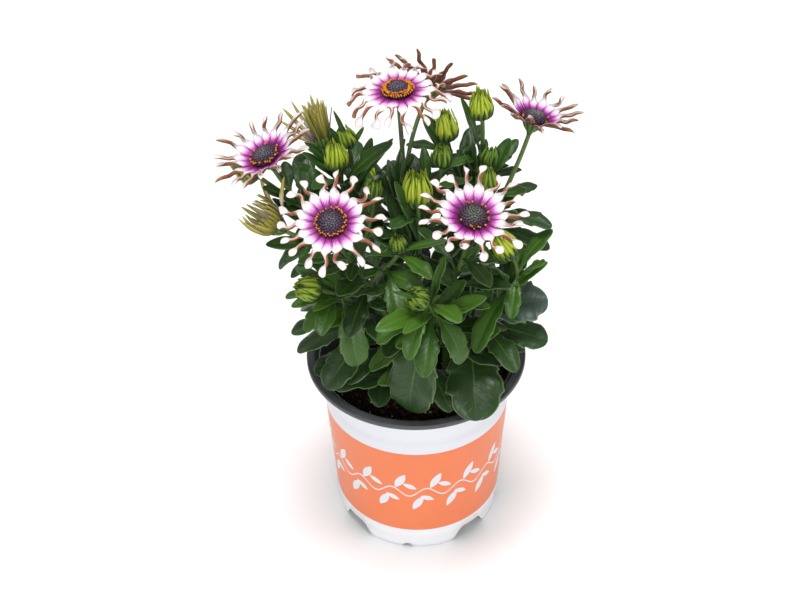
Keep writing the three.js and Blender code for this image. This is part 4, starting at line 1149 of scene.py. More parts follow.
def leaf_finish():
    """Waxy green, paler along the rib, at the veins and at the margin, and duller underneath."""
    leaf = Finish("leaf", Specular_IOR_Level=0.42, Subsurface_Weight=0.06, Subsurface_Scale=0.0015)
    leaf.shader.inputs["Subsurface Radius"].default_value = (0.5, 1, 0.25)
    age, along, across = leaf.number("age"), leaf.number("along"), leaf.number("across")
    apart = leaf.maths("ABSOLUTE", across)
    body = leaf.steps(
        age,
        (0.0, (0.078, 0.190, 0.008)),
        (0.3, (0.038, 0.104, 0.008)),
        (0.6, (0.018, 0.051, 0.008)),
        (0.82, (0.016, 0.041, 0.012)),
        # The blue-grey at age 1 is partly an old leaf's colour and partly a painted reflection.
        (1.0, (0.070, 0.108, 0.084)),
    )
    tone = leaf.maths("MULTIPLY", leaf.maths("SUBTRACT", leaf.number("tone"), 0.5), 0.7)
    cloudy = leaf.maths("ADD", tone, leaf.maths("MULTIPLY", leaf.noise(85, 3), 0.9))
    cloudy = leaf.maths("MULTIPLY", leaf.smooth(cloudy, 0.1, 0.9), leaf.smooth(age, 1.0, 0.85))
    body = leaf.blend(leaf.maths("MULTIPLY", cloudy, 0.55), body, (0.038, 0.100, 0.014))
    slant = leaf.maths("SUBTRACT", leaf.maths("MULTIPLY", along, 11), leaf.maths("MULTIPLY", apart, 2.2))
    slant = leaf.maths("ADD", slant, leaf.maths("MULTIPLY", leaf.noise(120), 0.7))
    off_vein = leaf.maths("ABSOLUTE", leaf.maths("SUBTRACT", leaf.maths("FRACT", slant), 0.5))
    veins = leaf.smooth(off_vein, 0.07, 0.0)
    veins = leaf.maths("MULTIPLY", veins, leaf.smooth(apart, 0.95, 0.5))
    rib = leaf.smooth(leaf.maths("MULTIPLY", apart, leaf.number("size")), 0.75, 0.1)
    rib = leaf.maths("MULTIPLY", rib, leaf.smooth(along, 1.0, 0.55))
    body = leaf.blend(leaf.maths("MULTIPLY", veins, 0.1), body, (0.12, 0.27, 0.06))
    body = leaf.blend(leaf.maths("MULTIPLY", rib, 0.42), body, (0.13, 0.29, 0.055))
    edge = leaf.smooth(apart, 0.93, 0.985)
    body = leaf.blend(leaf.maths("MULTIPLY", edge, 0.6), body, (0.20, 0.33, 0.10))
    under = leaf.blend(0.45, body, (0.10, 0.19, 0.075))
    leaf.colour(leaf.blend(leaf.number("under"), body, under))
    leaf.rough(leaf.maths("MULTIPLY_ADD", leaf.noise(260, 3), 0.26, 0.24))
    pillows = leaf.maths("MULTIPLY", leaf.noise(380, 2), 0.5)
    leaf.bumps(leaf.maths("SUBTRACT", pillows, leaf.maths("MULTIPLY", veins, 0.3)), 0.4)
    return leaf


leaf_green = leaf_finish()
print("leaf outlines:", ", ".join(OUTLINES))

# %% [markdown]
# ## Leafy stems
#
# Each stem is one living thing, so its tubes, its leaves and the green cups under its flowers are one
# piece. A cup is a ring of narrow green bracts, pressed against each other. It is turned like the pot,
# with a ripple round it that makes the bracts, and their tips stand a little free.

# %% Stems
STEM_RADIUS, STALK_RADIUS = 1.75, 1.35
TUBE_SIDES = 12
CUP_BRACTS, CUP_SIDES = 13, 78
# Radius and height of a cup's outline from the stalk up, under an open and under a closing flower
OPEN_CUP = [(1.3, -9), (1.6, -7.6), (2.9, -6.2), (4.3, -4.4), (5.4, -2.4), (6, -1), (6.3, -0.5), (5.2, -0.9)]
CLOSING_CUP = [(1.3, -4), (2.2, -3.2), (3.6, -1.8), (4.6, 0.2), (4.9, 2.2), (4.7, 4.2), (4.4, 5), (3.9, 4.2)]
# How brown each flower's stalk has turned
FLUSHED = {"flower_top": 1, "flower_left": 0.6, "flower_front_left": 0.6, "flower_front_right": 0.6,
           "flower_top_back": 0.3, "flower_right": 0.1}


def stem_finish():
    """Pale green with darker streaks, flushed with brown where the flower is an old one."""
    stem = Finish("stem", Roughness=0.5, Specular_IOR_Level=0.35)
    flush = stem.maths("MULTIPLY", stem.number("flush"), stem.smooth(stem.noise(70, 2), 0.2, 0.7))
    green = stem.blend(stem.noise(150, 3), (0.15, 0.24, 0.06), (0.07, 0.14, 0.03))
    stem.colour(stem.blend(flush, green, (0.045, 0.035, 0.028)))
    stem.bumps(stem.noise(600, 3), 0.15)
    return stem


def add_cup(piece, to):
    """Adds the green cup under a flower."""
    outline = turned(OPEN_CUP if to in FLOWERS else CLOSING_CUP, CUP_SIDES)
    ripple = np.abs(np.cos(np.linspace(0, math.pi * CUP_BRACTS, CUP_SIDES, endpoint=False)))
    outline[1:, :, :2] *= (0.97 + 0.05 * ripple)[:, None]
    outline[5:, :, 2] += 1.2 * ripple - 0.9
    points = outline @ facing(HEADS[to]["axis"]).T + np.array(HEADS[to]["at"])
    # The ripple goes to the finish as across, which paints shade in the creases between bracts.
    piece.rings(points, 2, across=np.broadcast_to(ripple, outline.shape[:2]))


def cup_finish():
    """Green bracts, with painted shade in the creases where one lies against the next."""
    cup = Finish("green_cup", Roughness=0.55, Specular_IOR_Level=0.3)
    # Dark in the valleys of the ripple and light on its ridges: painted shade in the creases between bracts.
    # On a bud's bracts, whose across runs from -1 to 1, the same blend darkens one half of each bract.
    cup.colour(cup.blend(cup.number("across"), (0.028, 0.055, 0.012), (0.11, 0.19, 0.045)))
    cup.bumps(cup.noise(900, 3), 0.15)
    return cup


def add_stem(name):
    """One stem with its stalks, cups and leaves."""
    piece = Piece("leafy_" + name)
    for branch, stalk in enumerate(STALKS[name]):
        places = np.linspace(0, stalk.length, max(8, int(stalk.length / 4)))
        path = stalk.at([stalk.after(place) for place in places])
        thick = STEM_RADIUS if branch == 0 else STALK_RADIUS
        radius = eased(np.linspace(0, 1, len(path)), [(0, thick), (0.5, 1.3), (1, 1.1)])
        flush = np.linspace(0.2, FLUSHED.get(stalk.to, 0.25), len(path))
        if branch == 0:
            foot = np.array([*STEMS[name]["root"], FOOT], float)
            below = foot + UP * np.linspace(0, FORK - FOOT, 4, endpoint=False)[:, None]
            path = np.concatenate([below, path])
            radius = np.concatenate([np.full(4, STEM_RADIUS), radius])
            flush = np.concatenate([np.full(4, 0.3), flush])
        piece.tube(path, radius, TUBE_SIDES, 1, flush=flush)
        if stalk.to not in BUDS:
            add_cup(piece, stalk.to)
    for number, leaf in enumerate(LEAVES[name]):
        add_leaf(piece, leaf, 3.7 * number + len(name))
    piece.build([leaf_green, stem_green, cup_green], "leaf", name)


stem_green, cup_green = stem_finish(), cup_finish()
for name in STEMS:
    add_stem(name)

# %% [markdown]
# ## Petals
#
# A petal of this flower starts as a flat strap, rolls its edges up into a narrow tube, and opens into
# a small spoon at the end. The rolling hides its white face and shows its copper brown back, which is
# why the flower seems to have brown necks. One sheet can do all of that: at each step along the petal
# its cross-section is an arc of a given width and a given angle. A small angle is nearly flat, and an
# angle close to a full turn is a tube. An older petal stays rolled up to its tip, and each flower has
# its own share of that, so the same two sets of numbers serve young and old flowers.

# %% Petal shape
HUB_RADIUS = 6.5
PETAL_REACH = 21
# Widths in millimetres and rolls in degrees, each at a share of the petal's length
PETAL_WIDTHS = [
    (0, 2.9), (0.1, 3.8), (0.22, 5.1), (0.31, 5.6), (0.38, 5.4), (0.44, 5.0), (0.49, 5.0), (0.55, 5.1),
    (0.64, 4.9), (0.73, 4.3), (0.79, 4.0), (0.84, 4.3), (0.89, 4.8), (0.93, 4.7), (0.97, 3.6), (1, 1.3),
]
PETAL_ROLLS = [
    (0, 16), (0.2, 22), (0.33, 34), (0.40, 56), (0.45, 110), (0.49, 220), (0.53, 320), (0.58, 346),
    (0.72, 342), (0.77, 290), (0.81, 190), (0.85, 130), (0.89, 104), (0.95, 92), (1, 70),
]
OLD_PETAL_WIDTHS = [
    (0, 2.9), (0.12, 3.9), (0.22, 4.8), (0.34, 5.4), (0.5, 5.7), (0.68, 6.1), (0.8, 5.6), (0.9, 3.8),
    (0.96, 2.0), (1, 0.6),
]
OLD_PETAL_ROLLS = [
    (0, 18), (0.2, 36), (0.3, 80), (0.38, 190), (0.45, 290), (0.55, 332), (0.8, 326), (0.92, 300), (1, 220),
]
PETAL_ROWS, PETAL_COLUMNS = 36, 10
PETAL_THICKNESS = 0.22
# How far each flower's petals have turned into old ones
PETAL_AGES = {"flower_front_right": 0.1, "flower_left": 0.66, "flower_right": 0.85, "flower_top_back": 0.85,
              "flower_top": 0.05}
# How much wider than the others a flower's spoons are
SPOONS = {"flower_top": 1.2}
# How many times its own bend the petals of a flower's near side and of its far side turn down
BENDS = {"flower_top": (1.6, 0.8), "flower_left": (-1.2, 0.2), "flower_front_left": (0.8, 0.2),
         "flower_front_right": (-0.5, 0.2)}
USUAL_BENDS = (1.6, 0.2)
# Radii and heights of the hub that joins the petals below the disc
RING_HUB, HUB_SIDES = [(0.05, -0.8), (5.5, -0.8), (7.2, -0.25), (7.2, 0.1), (0.05, 0.3)], 36


def add_petal(piece, path, lateral, normal, widths, rolls, tone, share, worn):
    """One petal: arcs of the given widths and rolls, in degrees, set along a path."""
    across = np.linspace(-1, 1, PETAL_COLUMNS + 1)
    roll = np.radians(rolls)[:, None]
    radius = widths[:, None] / roll
    angle = across[None] * roll / 2
    sine, cosine = np.sin(angle)[..., None], np.cos(angle)[..., None]
    lateral, normal = lateral[:, None], normal[:, None]
    middle = path[:, None] + radius[..., None] * (sine * lateral + (1 - cosine) * normal)
    inward = cosine * normal - sine * lateral
    thin = 0.5 * PETAL_THICKNESS * (1 - 0.55 * np.abs(across[None, :, None]) ** 4)
    piece.sheet(middle + inward * thin, middle - inward * thin, along=share[:, None], across=across[None],
                tone=tone, worn=worn)


def petal_path(start, turn, heading, pitch, reach):
    """Points along a petal, with the directions across and over it, from its heading and pitch."""
    out = np.array([math.cos(turn), math.sin(turn), 0])
    left = np.array([-math.sin(turn), math.cos(turn), 0])
    level = np.cos(heading)[:, None] * out + np.sin(heading)[:, None] * left
    ahead = np.cos(pitch)[:, None] * level + np.sin(pitch)[:, None] * UP
    steps = 0.5 * (ahead[1:] + ahead[:-1]) * reach / (len(heading) - 1)
    path = start + np.concatenate([np.zeros((1, 3)), np.cumsum(steps, axis=0)])
    normal = np.cos(pitch)[:, None] * UP - np.sin(pitch)[:, None] * level
    return path, np.cross(normal, ahead), normal


def hill(share, middle, width):
    """A smooth rise and fall about a share of the petal."""
    return np.exp(-(((share - middle) / width) ** 2))


def flower_petals(name, seed):
    """The ring of petals of one open flower."""
    flower, piece, worn = FLOWERS[name], Piece(name + "_ring"), PETAL_AGES.get(name, 0)
    share = np.linspace(0, 1, PETAL_ROWS + 1)
    neck = hill(share, 0.58, 0.09) - 0.9 * hill(share, 0.78, 0.11)
    curl = mix(1, 0.3, min(1, worn * 1.3))
    size, count = flower["size"], flower["petals"]
    for k in range(count):
        slope = math.radians(flower["cup"] + 12 * (draw(seed + k * 3.1) - 0.5) + 6 * (k % 2))
        turn = k * 2 * math.pi / count + math.radians(2.4 * (draw(seed + k * 2.3) - 0.5))
        reach = PETAL_REACH * size * (0.89 + 0.21 * draw(seed + k * 5.7))
        old = min(1, max(0, worn + 0.5 * (draw(seed + k * 6.7) - 0.5)))
        rolls = mix(eased(share, PETAL_ROLLS), eased(share, OLD_PETAL_ROLLS), old)
        widths = mix(eased(share, PETAL_WIDTHS), eased(share, OLD_PETAL_WIDTHS), old) * mix(1, size, 0.5)
        widths = widths * (1 + (SPOONS.get(name, 1) - 1) * np.clip((share - 0.74) / 0.1, 0, 1))
        # The neck sways aside and dips, and the tip nods
        sway = curl * math.radians(115) * (draw(seed + k * 7.9) - 0.5)
        dip = curl * math.radians(50) * (draw(seed + k * 9.1) - 0.3)
        nod = curl * math.radians(70) * (draw(seed + k * 8.3) - 0.35)
        far = min(1, max(0, math.sin(2 * math.pi * k / count) * 1.6))
        bend = math.radians(flower["bend"] * mix(*BENDS.get(name, USUAL_BENDS), far))
        pitch = slope - bend * share - dip * neck - nod * share**5
        start = HUB_RADIUS * np.array([math.cos(turn), math.sin(turn), 0])
        path, lateral, normal = petal_path(start, turn, sway * neck, pitch, reach)
        # Then the petal turns about its own length, first at the neck and again at the spoon
        twist = hill(share, 0.64, 0.13) * 2.6 * (draw(seed + k * 5.3) - 0.5)
        twist = (twist + share**4 * 2.4 * (draw(seed + k * 4.7) - 0.5))[:, None]
        lateral, normal = (np.cos(twist) * lateral + np.sin(twist) * normal,
                           np.cos(twist) * normal - np.sin(twist) * lateral)
        add_petal(piece, path, lateral, normal, widths, rolls, draw(seed + k), share, worn)
    piece.rings(turned(RING_HUB, HUB_SIDES), under=1.0)
    piece.moved(facing(flower["axis"]), flower["at"])
    piece.build([petal_white], "petal", name + "_petals")


print("a petal has", PETAL_ROWS, "rows of", PETAL_COLUMNS, "faces on each side")

# %% [markdown]
# The white face is magenta at the foot and fades through violet to white, with fine darker lines
# along it. Near the foot, darker lines run in its grooves and along its edges, partly streaks and partly
# painted shade of the grooves and of the gaps between petals. The back is copper brown along the neck
# and turns pale towards the foot and the rim, where the pale is partly a painted highlight on the
# rolled tube. A number on each point says which of the two faces it belongs to, and another how old
# the flower is: the backs of old petals are darker, and dark streaks run over them.


# %% Petal finish
def petal_finish():
    """Magenta to white on the face, copper to brown on the back."""
    petal = Finish("petal", Roughness=0.5, Specular_IOR_Level=0.3, Subsurface_Weight=0.1)
    petal.shader.inputs["Subsurface Scale"].default_value = MM
    petal.shader.inputs["Subsurface Radius"].default_value = (1, 0.7, 0.9)
    along, across, tone = petal.number("along"), petal.number("across"), petal.number("tone")
    lines = petal.maths("SINE", petal.maths("MULTIPLY", across, 21))
    lines = petal.maths("MULTIPLY", lines, 0.036)
    shaken = petal.maths("MULTIPLY_ADD", petal.maths("SUBTRACT", petal.noise(900, 2), 0.5), 0.08, lines)
    apart = petal.maths("ABSOLUTE", across)
    beside = petal.smooth(apart, 0.45, 1.0)
    place = petal.maths("SUBTRACT", petal.maths("ADD", along, shaken), petal.maths("MULTIPLY", beside, 0.09))
    face = petal.steps(
        place,
        (0.0, (0.07, 0.003, 0.045)),
        (0.07, (0.10, 0.003, 0.07)),
        (0.12, (0.22, 0.010, 0.17)),
        (0.165, (0.38, 0.035, 0.30)),
        (0.205, (0.56, 0.13, 0.48)),
        (0.25, (0.72, 0.36, 0.66)),
        (0.295, (0.83, 0.62, 0.78)),
        (0.35, (0.88, 0.84, 0.86)),
        (1.0, (0.89, 0.88, 0.87)),
    )
    # Darker magenta lines near the foot, in the middle, in the two grooves and at the edges: partly streaks
    # of the petal, partly painted shade of the grooves and of the gaps between petals.
    groove_and_gap_shade = petal.maths("ABSOLUTE", petal.maths("SINE", petal.maths("MULTIPLY", across, 6.6)))
    groove_and_gap_shade = petal.smooth(groove_and_gap_shade, 0.3, 0.0)
    groove_and_gap_shade = petal.maths("MULTIPLY", groove_and_gap_shade, petal.smooth(along, 0.46, 0.12))
    face = petal.blend(petal.maths("MULTIPLY", groove_and_gap_shade, 0.42), face, (0.27, 0.03, 0.26))
    rim = petal.maths("MULTIPLY", petal.smooth(along, 0.74, 0.84), petal.smooth(apart, 0.62, 1.0))
    face = petal.blend(petal.maths("MULTIPLY", rim, 0.75), face, (0.66, 0.38, 0.28))
    worn = petal.number("worn")
    shifted = petal.maths("ADD", place, petal.maths("MULTIPLY", petal.maths("SUBTRACT", tone, 0.5), 0.1))
    copper = petal.steps(
        shifted,
        (0.0, (0.15, 0.09, 0.06)),
        (0.25, (0.33, 0.15, 0.12)),
        (0.42, (0.38, 0.15, 0.105)),
        (0.55, (0.30, 0.088, 0.052)),
        (0.78, (0.30, 0.10, 0.055)),
        (0.9, (0.42, 0.22, 0.13)),
        (1.0, (0.55, 0.38, 0.27)),
    )
    brown = petal.steps(
        shifted,
        (0.0, (0.10, 0.06, 0.04)),
        (0.25, (0.20, 0.070, 0.052)),
        (0.5, (0.17, 0.052, 0.028)),
        (0.7, (0.22, 0.085, 0.035)),
        (0.88, (0.27, 0.15, 0.050)),
        (1.0, (0.06, 0.035, 0.018)),
    )
    back = petal.blend(worn, copper, brown)
    dark = petal.smooth(apart, 0.5, 0.0)
    dark = petal.maths("MULTIPLY", dark, petal.maths("MULTIPLY_ADD", worn, 0.4, 0.35))
    back = petal.blend(dark, back, (0.085, 0.022, 0.014))
    streak = petal.smooth(petal.noise(420, 3), 0.5, 0.68)
    streak = petal.maths("MULTIPLY", streak, petal.maths("MULTIPLY", worn, 0.85))
    back = petal.blend(streak, back, (0.07, 0.02, 0.012))
    # Paler near the edges of the back: partly a paler margin, partly a painted highlight on the top of the
    # rolled tube.
    pale_edge_and_sheen = petal.smooth(apart, 0.84, 0.95)
    pale_edge_and_sheen = petal.maths("MULTIPLY", pale_edge_and_sheen, petal.maths("MULTIPLY_ADD", worn, -0.4, 0.85))
    back = petal.blend(pale_edge_and_sheen, back, (0.86, 0.68, 0.56))
    petal.colour(petal.blend(petal.number("under"), face, back))
    petal.bumps(petal.maths("ADD", petal.noise(1500, 2), petal.maths("MULTIPLY", lines, 12)), 0.06)
    return petal


petal_white = petal_finish()
SEEDS = {name: 11 + number * 6.1 for number, name in enumerate(HEADS)}
for name in FLOWERS:
    flower_petals(name, SEEDS[name])

# %% [markdown]
# ## Discs
#
# The middle of the flower is a dome of tiny florets, set in the spiral that sunflowers and daisies
# share: each floret follows the last at the golden angle, a little further out. The inner ones are
# closed buds like small stars. The outer ones open first and hold up orange pollen.

# %% Discs
DISC_RADIUS, DISC_BASE, DOME_HEIGHT = 7, 0.6, 2.88
SMALL_DISC = 0.93
FLORETS, FLORET_LOBES = 92, 5
GOLDEN_ANGLE = math.radians(137.508)
# How green the closed florets of a flower are
MOSSY = {"flower_front_left": 0.1, "flower_front_right": 0.8, "flower_left": 0.45, "flower_top": 0.0,
         "flower_right": 0.7}
# What share of the outer florets holds up pollen. Above RICH the ring is full, and in three rows
POLLEN = {"flower_front_left": 1.15, "flower_front_right": 0.6, "flower_left": 0.75, "flower_top": 1.5,
          "flower_top_back": 0.2, "flower_right": 0.12}
RICH = 1.2
POLLEN_COUNT, RICH_POLLEN_COUNT = 48, 110
POLLEN_ROWS, RICH_POLLEN_ROWS = (1.0, 0.88, 0.94), (0.98, 0.74, 0.86)
# The side of a disc that opens first
POLLEN_SIDE, USUAL_POLLEN_SIDE = {"flower_left": (0.4, -1)}, (0, -1)
POLLEN_TIP = np.array([[0.46, 0.46, 0.66]])


def floret_bud():
    """A small closed floret: a short stalk that swells into a lobed bud with a pit on top."""
    sides = 2 * FLORET_LOBES
    levels = [(0.75, -1.2), (0.8, 0), (1.0, 0.5), (0.72, 0.95), (0.2, 0.7)]
    around = np.arange(sides) * 2 * math.pi / sides
    lobes = np.where(np.arange(sides) % 2, 0.8, 1.08)
    points = [[r * l * math.cos(a), r * l * math.sin(a), z] for r, z in levels for a, l in zip(around, lobes)]
    points += [[0, 0, -1.2], [0, 0, 0.62]]
    faces = grid_faces(len(levels) - 1, sides, closed=True)
    k = np.arange(sides)
    top = (len(levels) - 1) * sides
    faces = np.concatenate([faces[:, [0, 1, 2]], faces[:, [0, 2, 3]]])
    low = np.column_stack([np.full(sides, len(points) - 2), (k + 1) % sides, k])
    high = np.column_stack([np.full(sides, len(points) - 1), top + k, top + (k + 1) % sides])
    pits = np.repeat([1, 1, 0.1, 0, 0.6], sides)
    return np.array(points), np.concatenate([faces, low, high]), np.concatenate([pits, [1, 1]])


def dome(radius):
    """Height of the disc's dome at a radius."""
    return DISC_BASE + DOME_HEIGHT * (1 - np.clip(radius / DISC_RADIUS, 0, 1) ** 2.2)


def flower_disc(name, seed, pollen):
    """The disc of one flower. pollen is how many of the outer florets are orange."""
    flower, piece = FLOWERS[name], Piece(name + "_florets")
    size = SMALL_DISC if flower["size"] < 1 else 1
    radii = DISC_RADIUS * size * np.array([0.02, 0.25, 0.5, 0.75, 0.92, 1, 0.98, 0.02])
    heights = np.concatenate([dome(radii[:5] / size), [DISC_BASE + 0.3, DISC_BASE - 0.25, DISC_BASE - 0.25]])
    piece.rings(turned(np.column_stack([radii, heights])[::-1], 40), shade=0.0, out=1.0, pit=1.0, moss=0.0)
    number = np.arange(FLORETS)
    radius = (DISC_RADIUS - 0.55) * size * np.sqrt((number + 0.5) / FLORETS)
    angle = number * GOLDEN_ANGLE + seed
    places = np.column_stack([radius * np.cos(angle), radius * np.sin(angle), dome(radius / size)])
    leaning = 0.75 * (radius / DISC_RADIUS) ** 2
    frames = np.array([facing(tilted(*turn_and_tilt)) for turn_and_tilt in zip(angle, leaning)])
    widths = mix(0.52, 0.70, (radius / DISC_RADIUS))[:, None, None] * np.array([1, 1, 1.15])
    share = (radius / (DISC_RADIUS * size))[:, None]
    points, faces, pits = floret_bud()
    shades = np.array([[draw(seed + i)] for i in number])
    piece.stamp((points, faces), places, frames * widths, shade=shades, out=share, pit=pits[None],
                moss=MOSSY.get(name, 0.2))
    first_side = unit(np.array(POLLEN_SIDE.get(name, USUAL_POLLEN_SIDE)))
    rich = pollen > RICH
    count, rows = (RICH_POLLEN_COUNT, RICH_POLLEN_ROWS) if rich else (POLLEN_COUNT, POLLEN_ROWS)
    for k in range(count):
        turn = (k + 0.5 * draw(seed + k * 1.3)) / count * 2 * math.pi
        early = 0.5 + 0.5 * np.dot([math.cos(turn), math.sin(turn)], first_side)
        if draw(seed + k * 2.9) > pollen * (0.35 + 0.65 * early ** (0.4 if pollen > 0.9 else 1.3)):
            continue
        out = DISC_RADIUS * size * rows[k % 3] * (0.97 + 0.06 * draw(seed + k * 3.7))
        foot = np.array([out * math.cos(turn), out * math.sin(turn), dome(out / size) + 0.1])
        up = tilted(turn, 0.3 + 0.4 * draw(seed + k * 5.3))
        length = 0.9 + 0.7 * draw(seed + k * 7.7)
        stamen = foot + up * np.array([[-0.4], [length * 0.55], [length]])
        piece.tube(stamen[:2], 0.2, 6, shade=0.1, out=0.9, pit=0.5, moss=0.0)
        tip = facing(up) * POLLEN_TIP * (0.85 + 0.4 * draw(seed + k * 8.3))
        piece.stamp(icosahedron(), stamen[[2]], tip[None], 1, shade=draw(seed + k * 6.1))
    piece.moved(facing(flower["axis"]), flower["at"])
    piece.build([floret_purple, pollen_orange], "disc", name + "_disc")


def floret_finish():
    """Purple round the rim of the disc and grey to moss green within, dark in each floret's pit."""
    floret = Finish("florets", Roughness=0.6, Specular_IOR_Level=0.35)
    outer = floret.blend(floret.number("shade"), (0.040, 0.014, 0.045), (0.10, 0.045, 0.10))
    grey = floret.blend(floret.number("shade"), (0.10, 0.09, 0.13), (0.19, 0.17, 0.23))
    green = floret.blend(floret.number("shade"), (0.13, 0.15, 0.11), (0.25, 0.30, 0.20))
    inner = floret.blend(floret.number("moss"), grey, green)
    body = floret.blend(floret.smooth(floret.number("out"), 0.25, 0.75), inner, outer)
    pit = floret.smooth(floret.number("pit"), 0.2, 0.8)
    floret.colour(floret.blend(pit, body, (0.030, 0.012, 0.026)))
    return floret


floret_purple = floret_finish()
pollen_orange = Finish("pollen", Roughness=0.8)
shade = pollen_orange.number("shade")
pollen_orange.colour(pollen_orange.blend(shade, (0.60, 0.16, 0.004), (0.85, 0.34, 0.012)))
pollen_orange.bumps(pollen_orange.noise(3000), 0.05)
for name, pollen in POLLEN.items():
    flower_disc(name, SEEDS[name], pollen)

# %% [markdown]
# ## Buds
#
# A bud is a bunch of rolled petals, still lime green, held by a cup of green bracts. The petals stand
# side by side with dark gaps between them, painted shade made by a dark core behind them and by darker
# edges, and end in free points, so the top is an open crown. Each is a narrow strip bent over an
# egg-shaped outline, with two more rings of them inside the first.
# Young buds are greener.

# %% Buds
# How ripe a bud is, where it isn't fully ripe: from 0, green, to 1, lime yellow
RIPENESS = {
    "bud_green": 0.2, "bud_front": 0.12, "bud_small_front": 0.25, "bud_small_middle": 0.1, "bud_left": 0.5,
    "bud_behind_right": 0.3, "bud_round_right": 0.05, "bud_low_left": 0.45, "bud_back_left_far": 0.45,
}
BUD_RINGS = [
    # radius, height and width of the strips, as shares of the bud's, and how many fewer there are
    (1.0, 1.0, 1.0, 0),
    (0.74, 1.0, 0.95, 2),
    (0.45, 0.97, 0.9, 5),
]
# Radius and height of the core that the strips stand round, as shares of the bud's
BUD_CORE = [(0.62, 0.1), (0.8, 0.3), (0.66, 0.56), (0.35, 0.74)]
# Outline of a strip, where its tip's share is drawn, and its width, each at a share of its length
STRIP_OUTLINE = [(0, 0.22), (0.09, 0.6), (0.22, 0.9), (0.38, 1.0), (0.58, 0.96), (0.8, 0.76)]
STRIP_WIDTHS = [(0, 0.11), (0.2, 0.19), (0.42, 0.20), (0.62, 0.18), (0.85, 0.13), (0.96, 0.08), (1, 0.02)]
BRACT_OUTLINE = [(0, 0.3), (0.2, 0.78), (0.45, 1.02), (0.75, 1.1), (1, 1.05)]
BRACT_WIDTHS = [(0, 0.18), (0.3, 0.22), (0.7, 0.12), (1, 0.015)]
STRIP_POINTS, CORE_SIDES = 9, 24
WIDE_STRIP = 4.2


def add_strip(piece, angle, radii, heights, widths, bulge, tone, ripeness, material=0, lean=0.0):
    """A rounded strip that stands at an angle about the axis and follows radii and heights."""
    across = np.linspace(-1, 1, 7 if radii.max() > WIDE_STRIP else 5)
    turn = angle + lean * np.linspace(0, 1, len(radii)) ** 2
    out = np.column_stack([np.cos(turn), np.sin(turn), np.zeros(len(turn))])
    left = np.column_stack([-np.sin(turn), np.cos(turn), np.zeros(len(turn))])
    path = out * radii[:, None] + UP * heights[:, None]
    arch = bulge[:, None] * (1 - np.abs(across[None]) ** 2.4)
    middle = path[:, None] + left[:, None] * (widths[:, None] * across[None])[..., None]
    top = middle + out[:, None] * arch[..., None]
    inner = middle + out[:, None] * (arch * 0.25 - 0.25)[..., None]
    share = np.linspace(0, 1, len(radii))[:, None]
    piece.sheet(inner, top, material, along=share, across=across[None], tone=tone, ripe=ripeness)


def bud_piece(name, seed):
    """One bud: its dark core, which is painted shade for the gaps, three rings of rolled petals, and green
    bracts round its foot.
    """
    bud, piece = BUDS[name], Piece(name + "_rolled")
    length, radius, petals = bud["length"], bud["radius"], bud["bracts"] + 6
    ripe = RIPENESS.get(name, 1)
    core = [(radius * out, length * up) for out, up in BUD_CORE]
    piece.rings(turned([(0.05, 0.2), (1.1, 0.3), *core, (0.05, length * 0.8)], CORE_SIDES), 1)
    share = np.linspace(0, 1, STRIP_POINTS)
    for ring, (reach, height, width, fewer) in enumerate(BUD_RINGS):
        for k in range(petals - fewer):
            key = seed + k + 40 * ring
            end = 0.46 + 0.36 * draw(key)
            top = length * height * (0.74 + 0.28 * draw(key * 1.7))
            outline = eased(share, [*STRIP_OUTLINE, (1, end)])
            radii = outline * radius * reach * (0.96 + 0.08 * draw(key * 2.9))
            widths = radius * width * eased(share, STRIP_WIDTHS) * (0.85 + 0.3 * draw(key * 3.3))
            angle = (k + 0.5 * ring + 0.35 * (draw(key * 2.1) - 0.5)) / (petals - fewer) * 2 * math.pi
            lean = 0.7 * (draw(key * 3.9) - 0.5)
            bulge = widths * (0.3 + 0.5 * share)
            add_strip(piece, angle, radii, share * top + 0.3, widths, bulge, draw(key * 1.1), ripe, lean=lean)
    bracts = petals - 3
    for k in range(bracts):
        angle = (k + 0.3 * draw(seed + k * 4.1)) / bracts * 2 * math.pi
        top = length * mix(0.72, 0.42, ripe) * (0.8 + 0.4 * draw(seed + k * 5.9))
        radii, widths = radius * eased(share, BRACT_OUTLINE), radius * eased(share, BRACT_WIDTHS)
        add_strip(piece, angle, radii, share * top + 0.25, widths, widths * 0.5, draw(seed + k), ripe, 2)
    piece.moved(facing(bud["axis"]), bud["at"])
    piece.build([bud_lime, bud_gap_shade, bract_green], "bud", name)


def bud_finish():
    """Lime, with painted shade on each petal's edges where it rolls under its neighbour, darker at its foot,
    and greener if unripe.
    """
    lime = Finish("rolled_petals", Roughness=0.45, Specular_IOR_Level=0.35)
    along, ripe = lime.number("along"), lime.number("ripe")
    young = lime.steps(along, (0, (0.03, 0.085, 0.012)), (0.6, (0.08, 0.19, 0.02)), (1, (0.14, 0.26, 0.04)))
    full = lime.steps(
        along,
        (0.0, (0.08, 0.17, 0.015)),
        (0.3, (0.24, 0.36, 0.018)),
        (0.55, (0.50, 0.60, 0.03)),
        (0.85, (0.50, 0.60, 0.04)),
        (1.0, (0.22, 0.30, 0.03)),
    )
    body = lime.blend(ripe, young, full)
    # The edges of each strip darken above its foot: painted shade where a petal rolls under its neighbour.
    edge = lime.smooth(lime.maths("ABSOLUTE", lime.number("across")), 0.35, 1)
    edge = lime.maths("MULTIPLY", edge, lime.smooth(along, 0.1, 0.5))
    body = lime.blend(lime.maths("MULTIPLY", edge, 0.72), body, (0.06, 0.12, 0.006))
    yellow = lime.maths("MULTIPLY", lime.number("tone"), lime.maths("MULTIPLY", ripe, 0.35))
    body = lime.blend(yellow, body, (0.30, 0.36, 0.02))
    lime.colour(lime.blend(lime.maths("MULTIPLY", lime.noise(500), 0.25), body, (0.16, 0.26, 0.02)))
    lime.bumps(lime.noise(1200), 0.08)
    return lime


bud_lime, bract_green = bud_finish(), cup_finish()
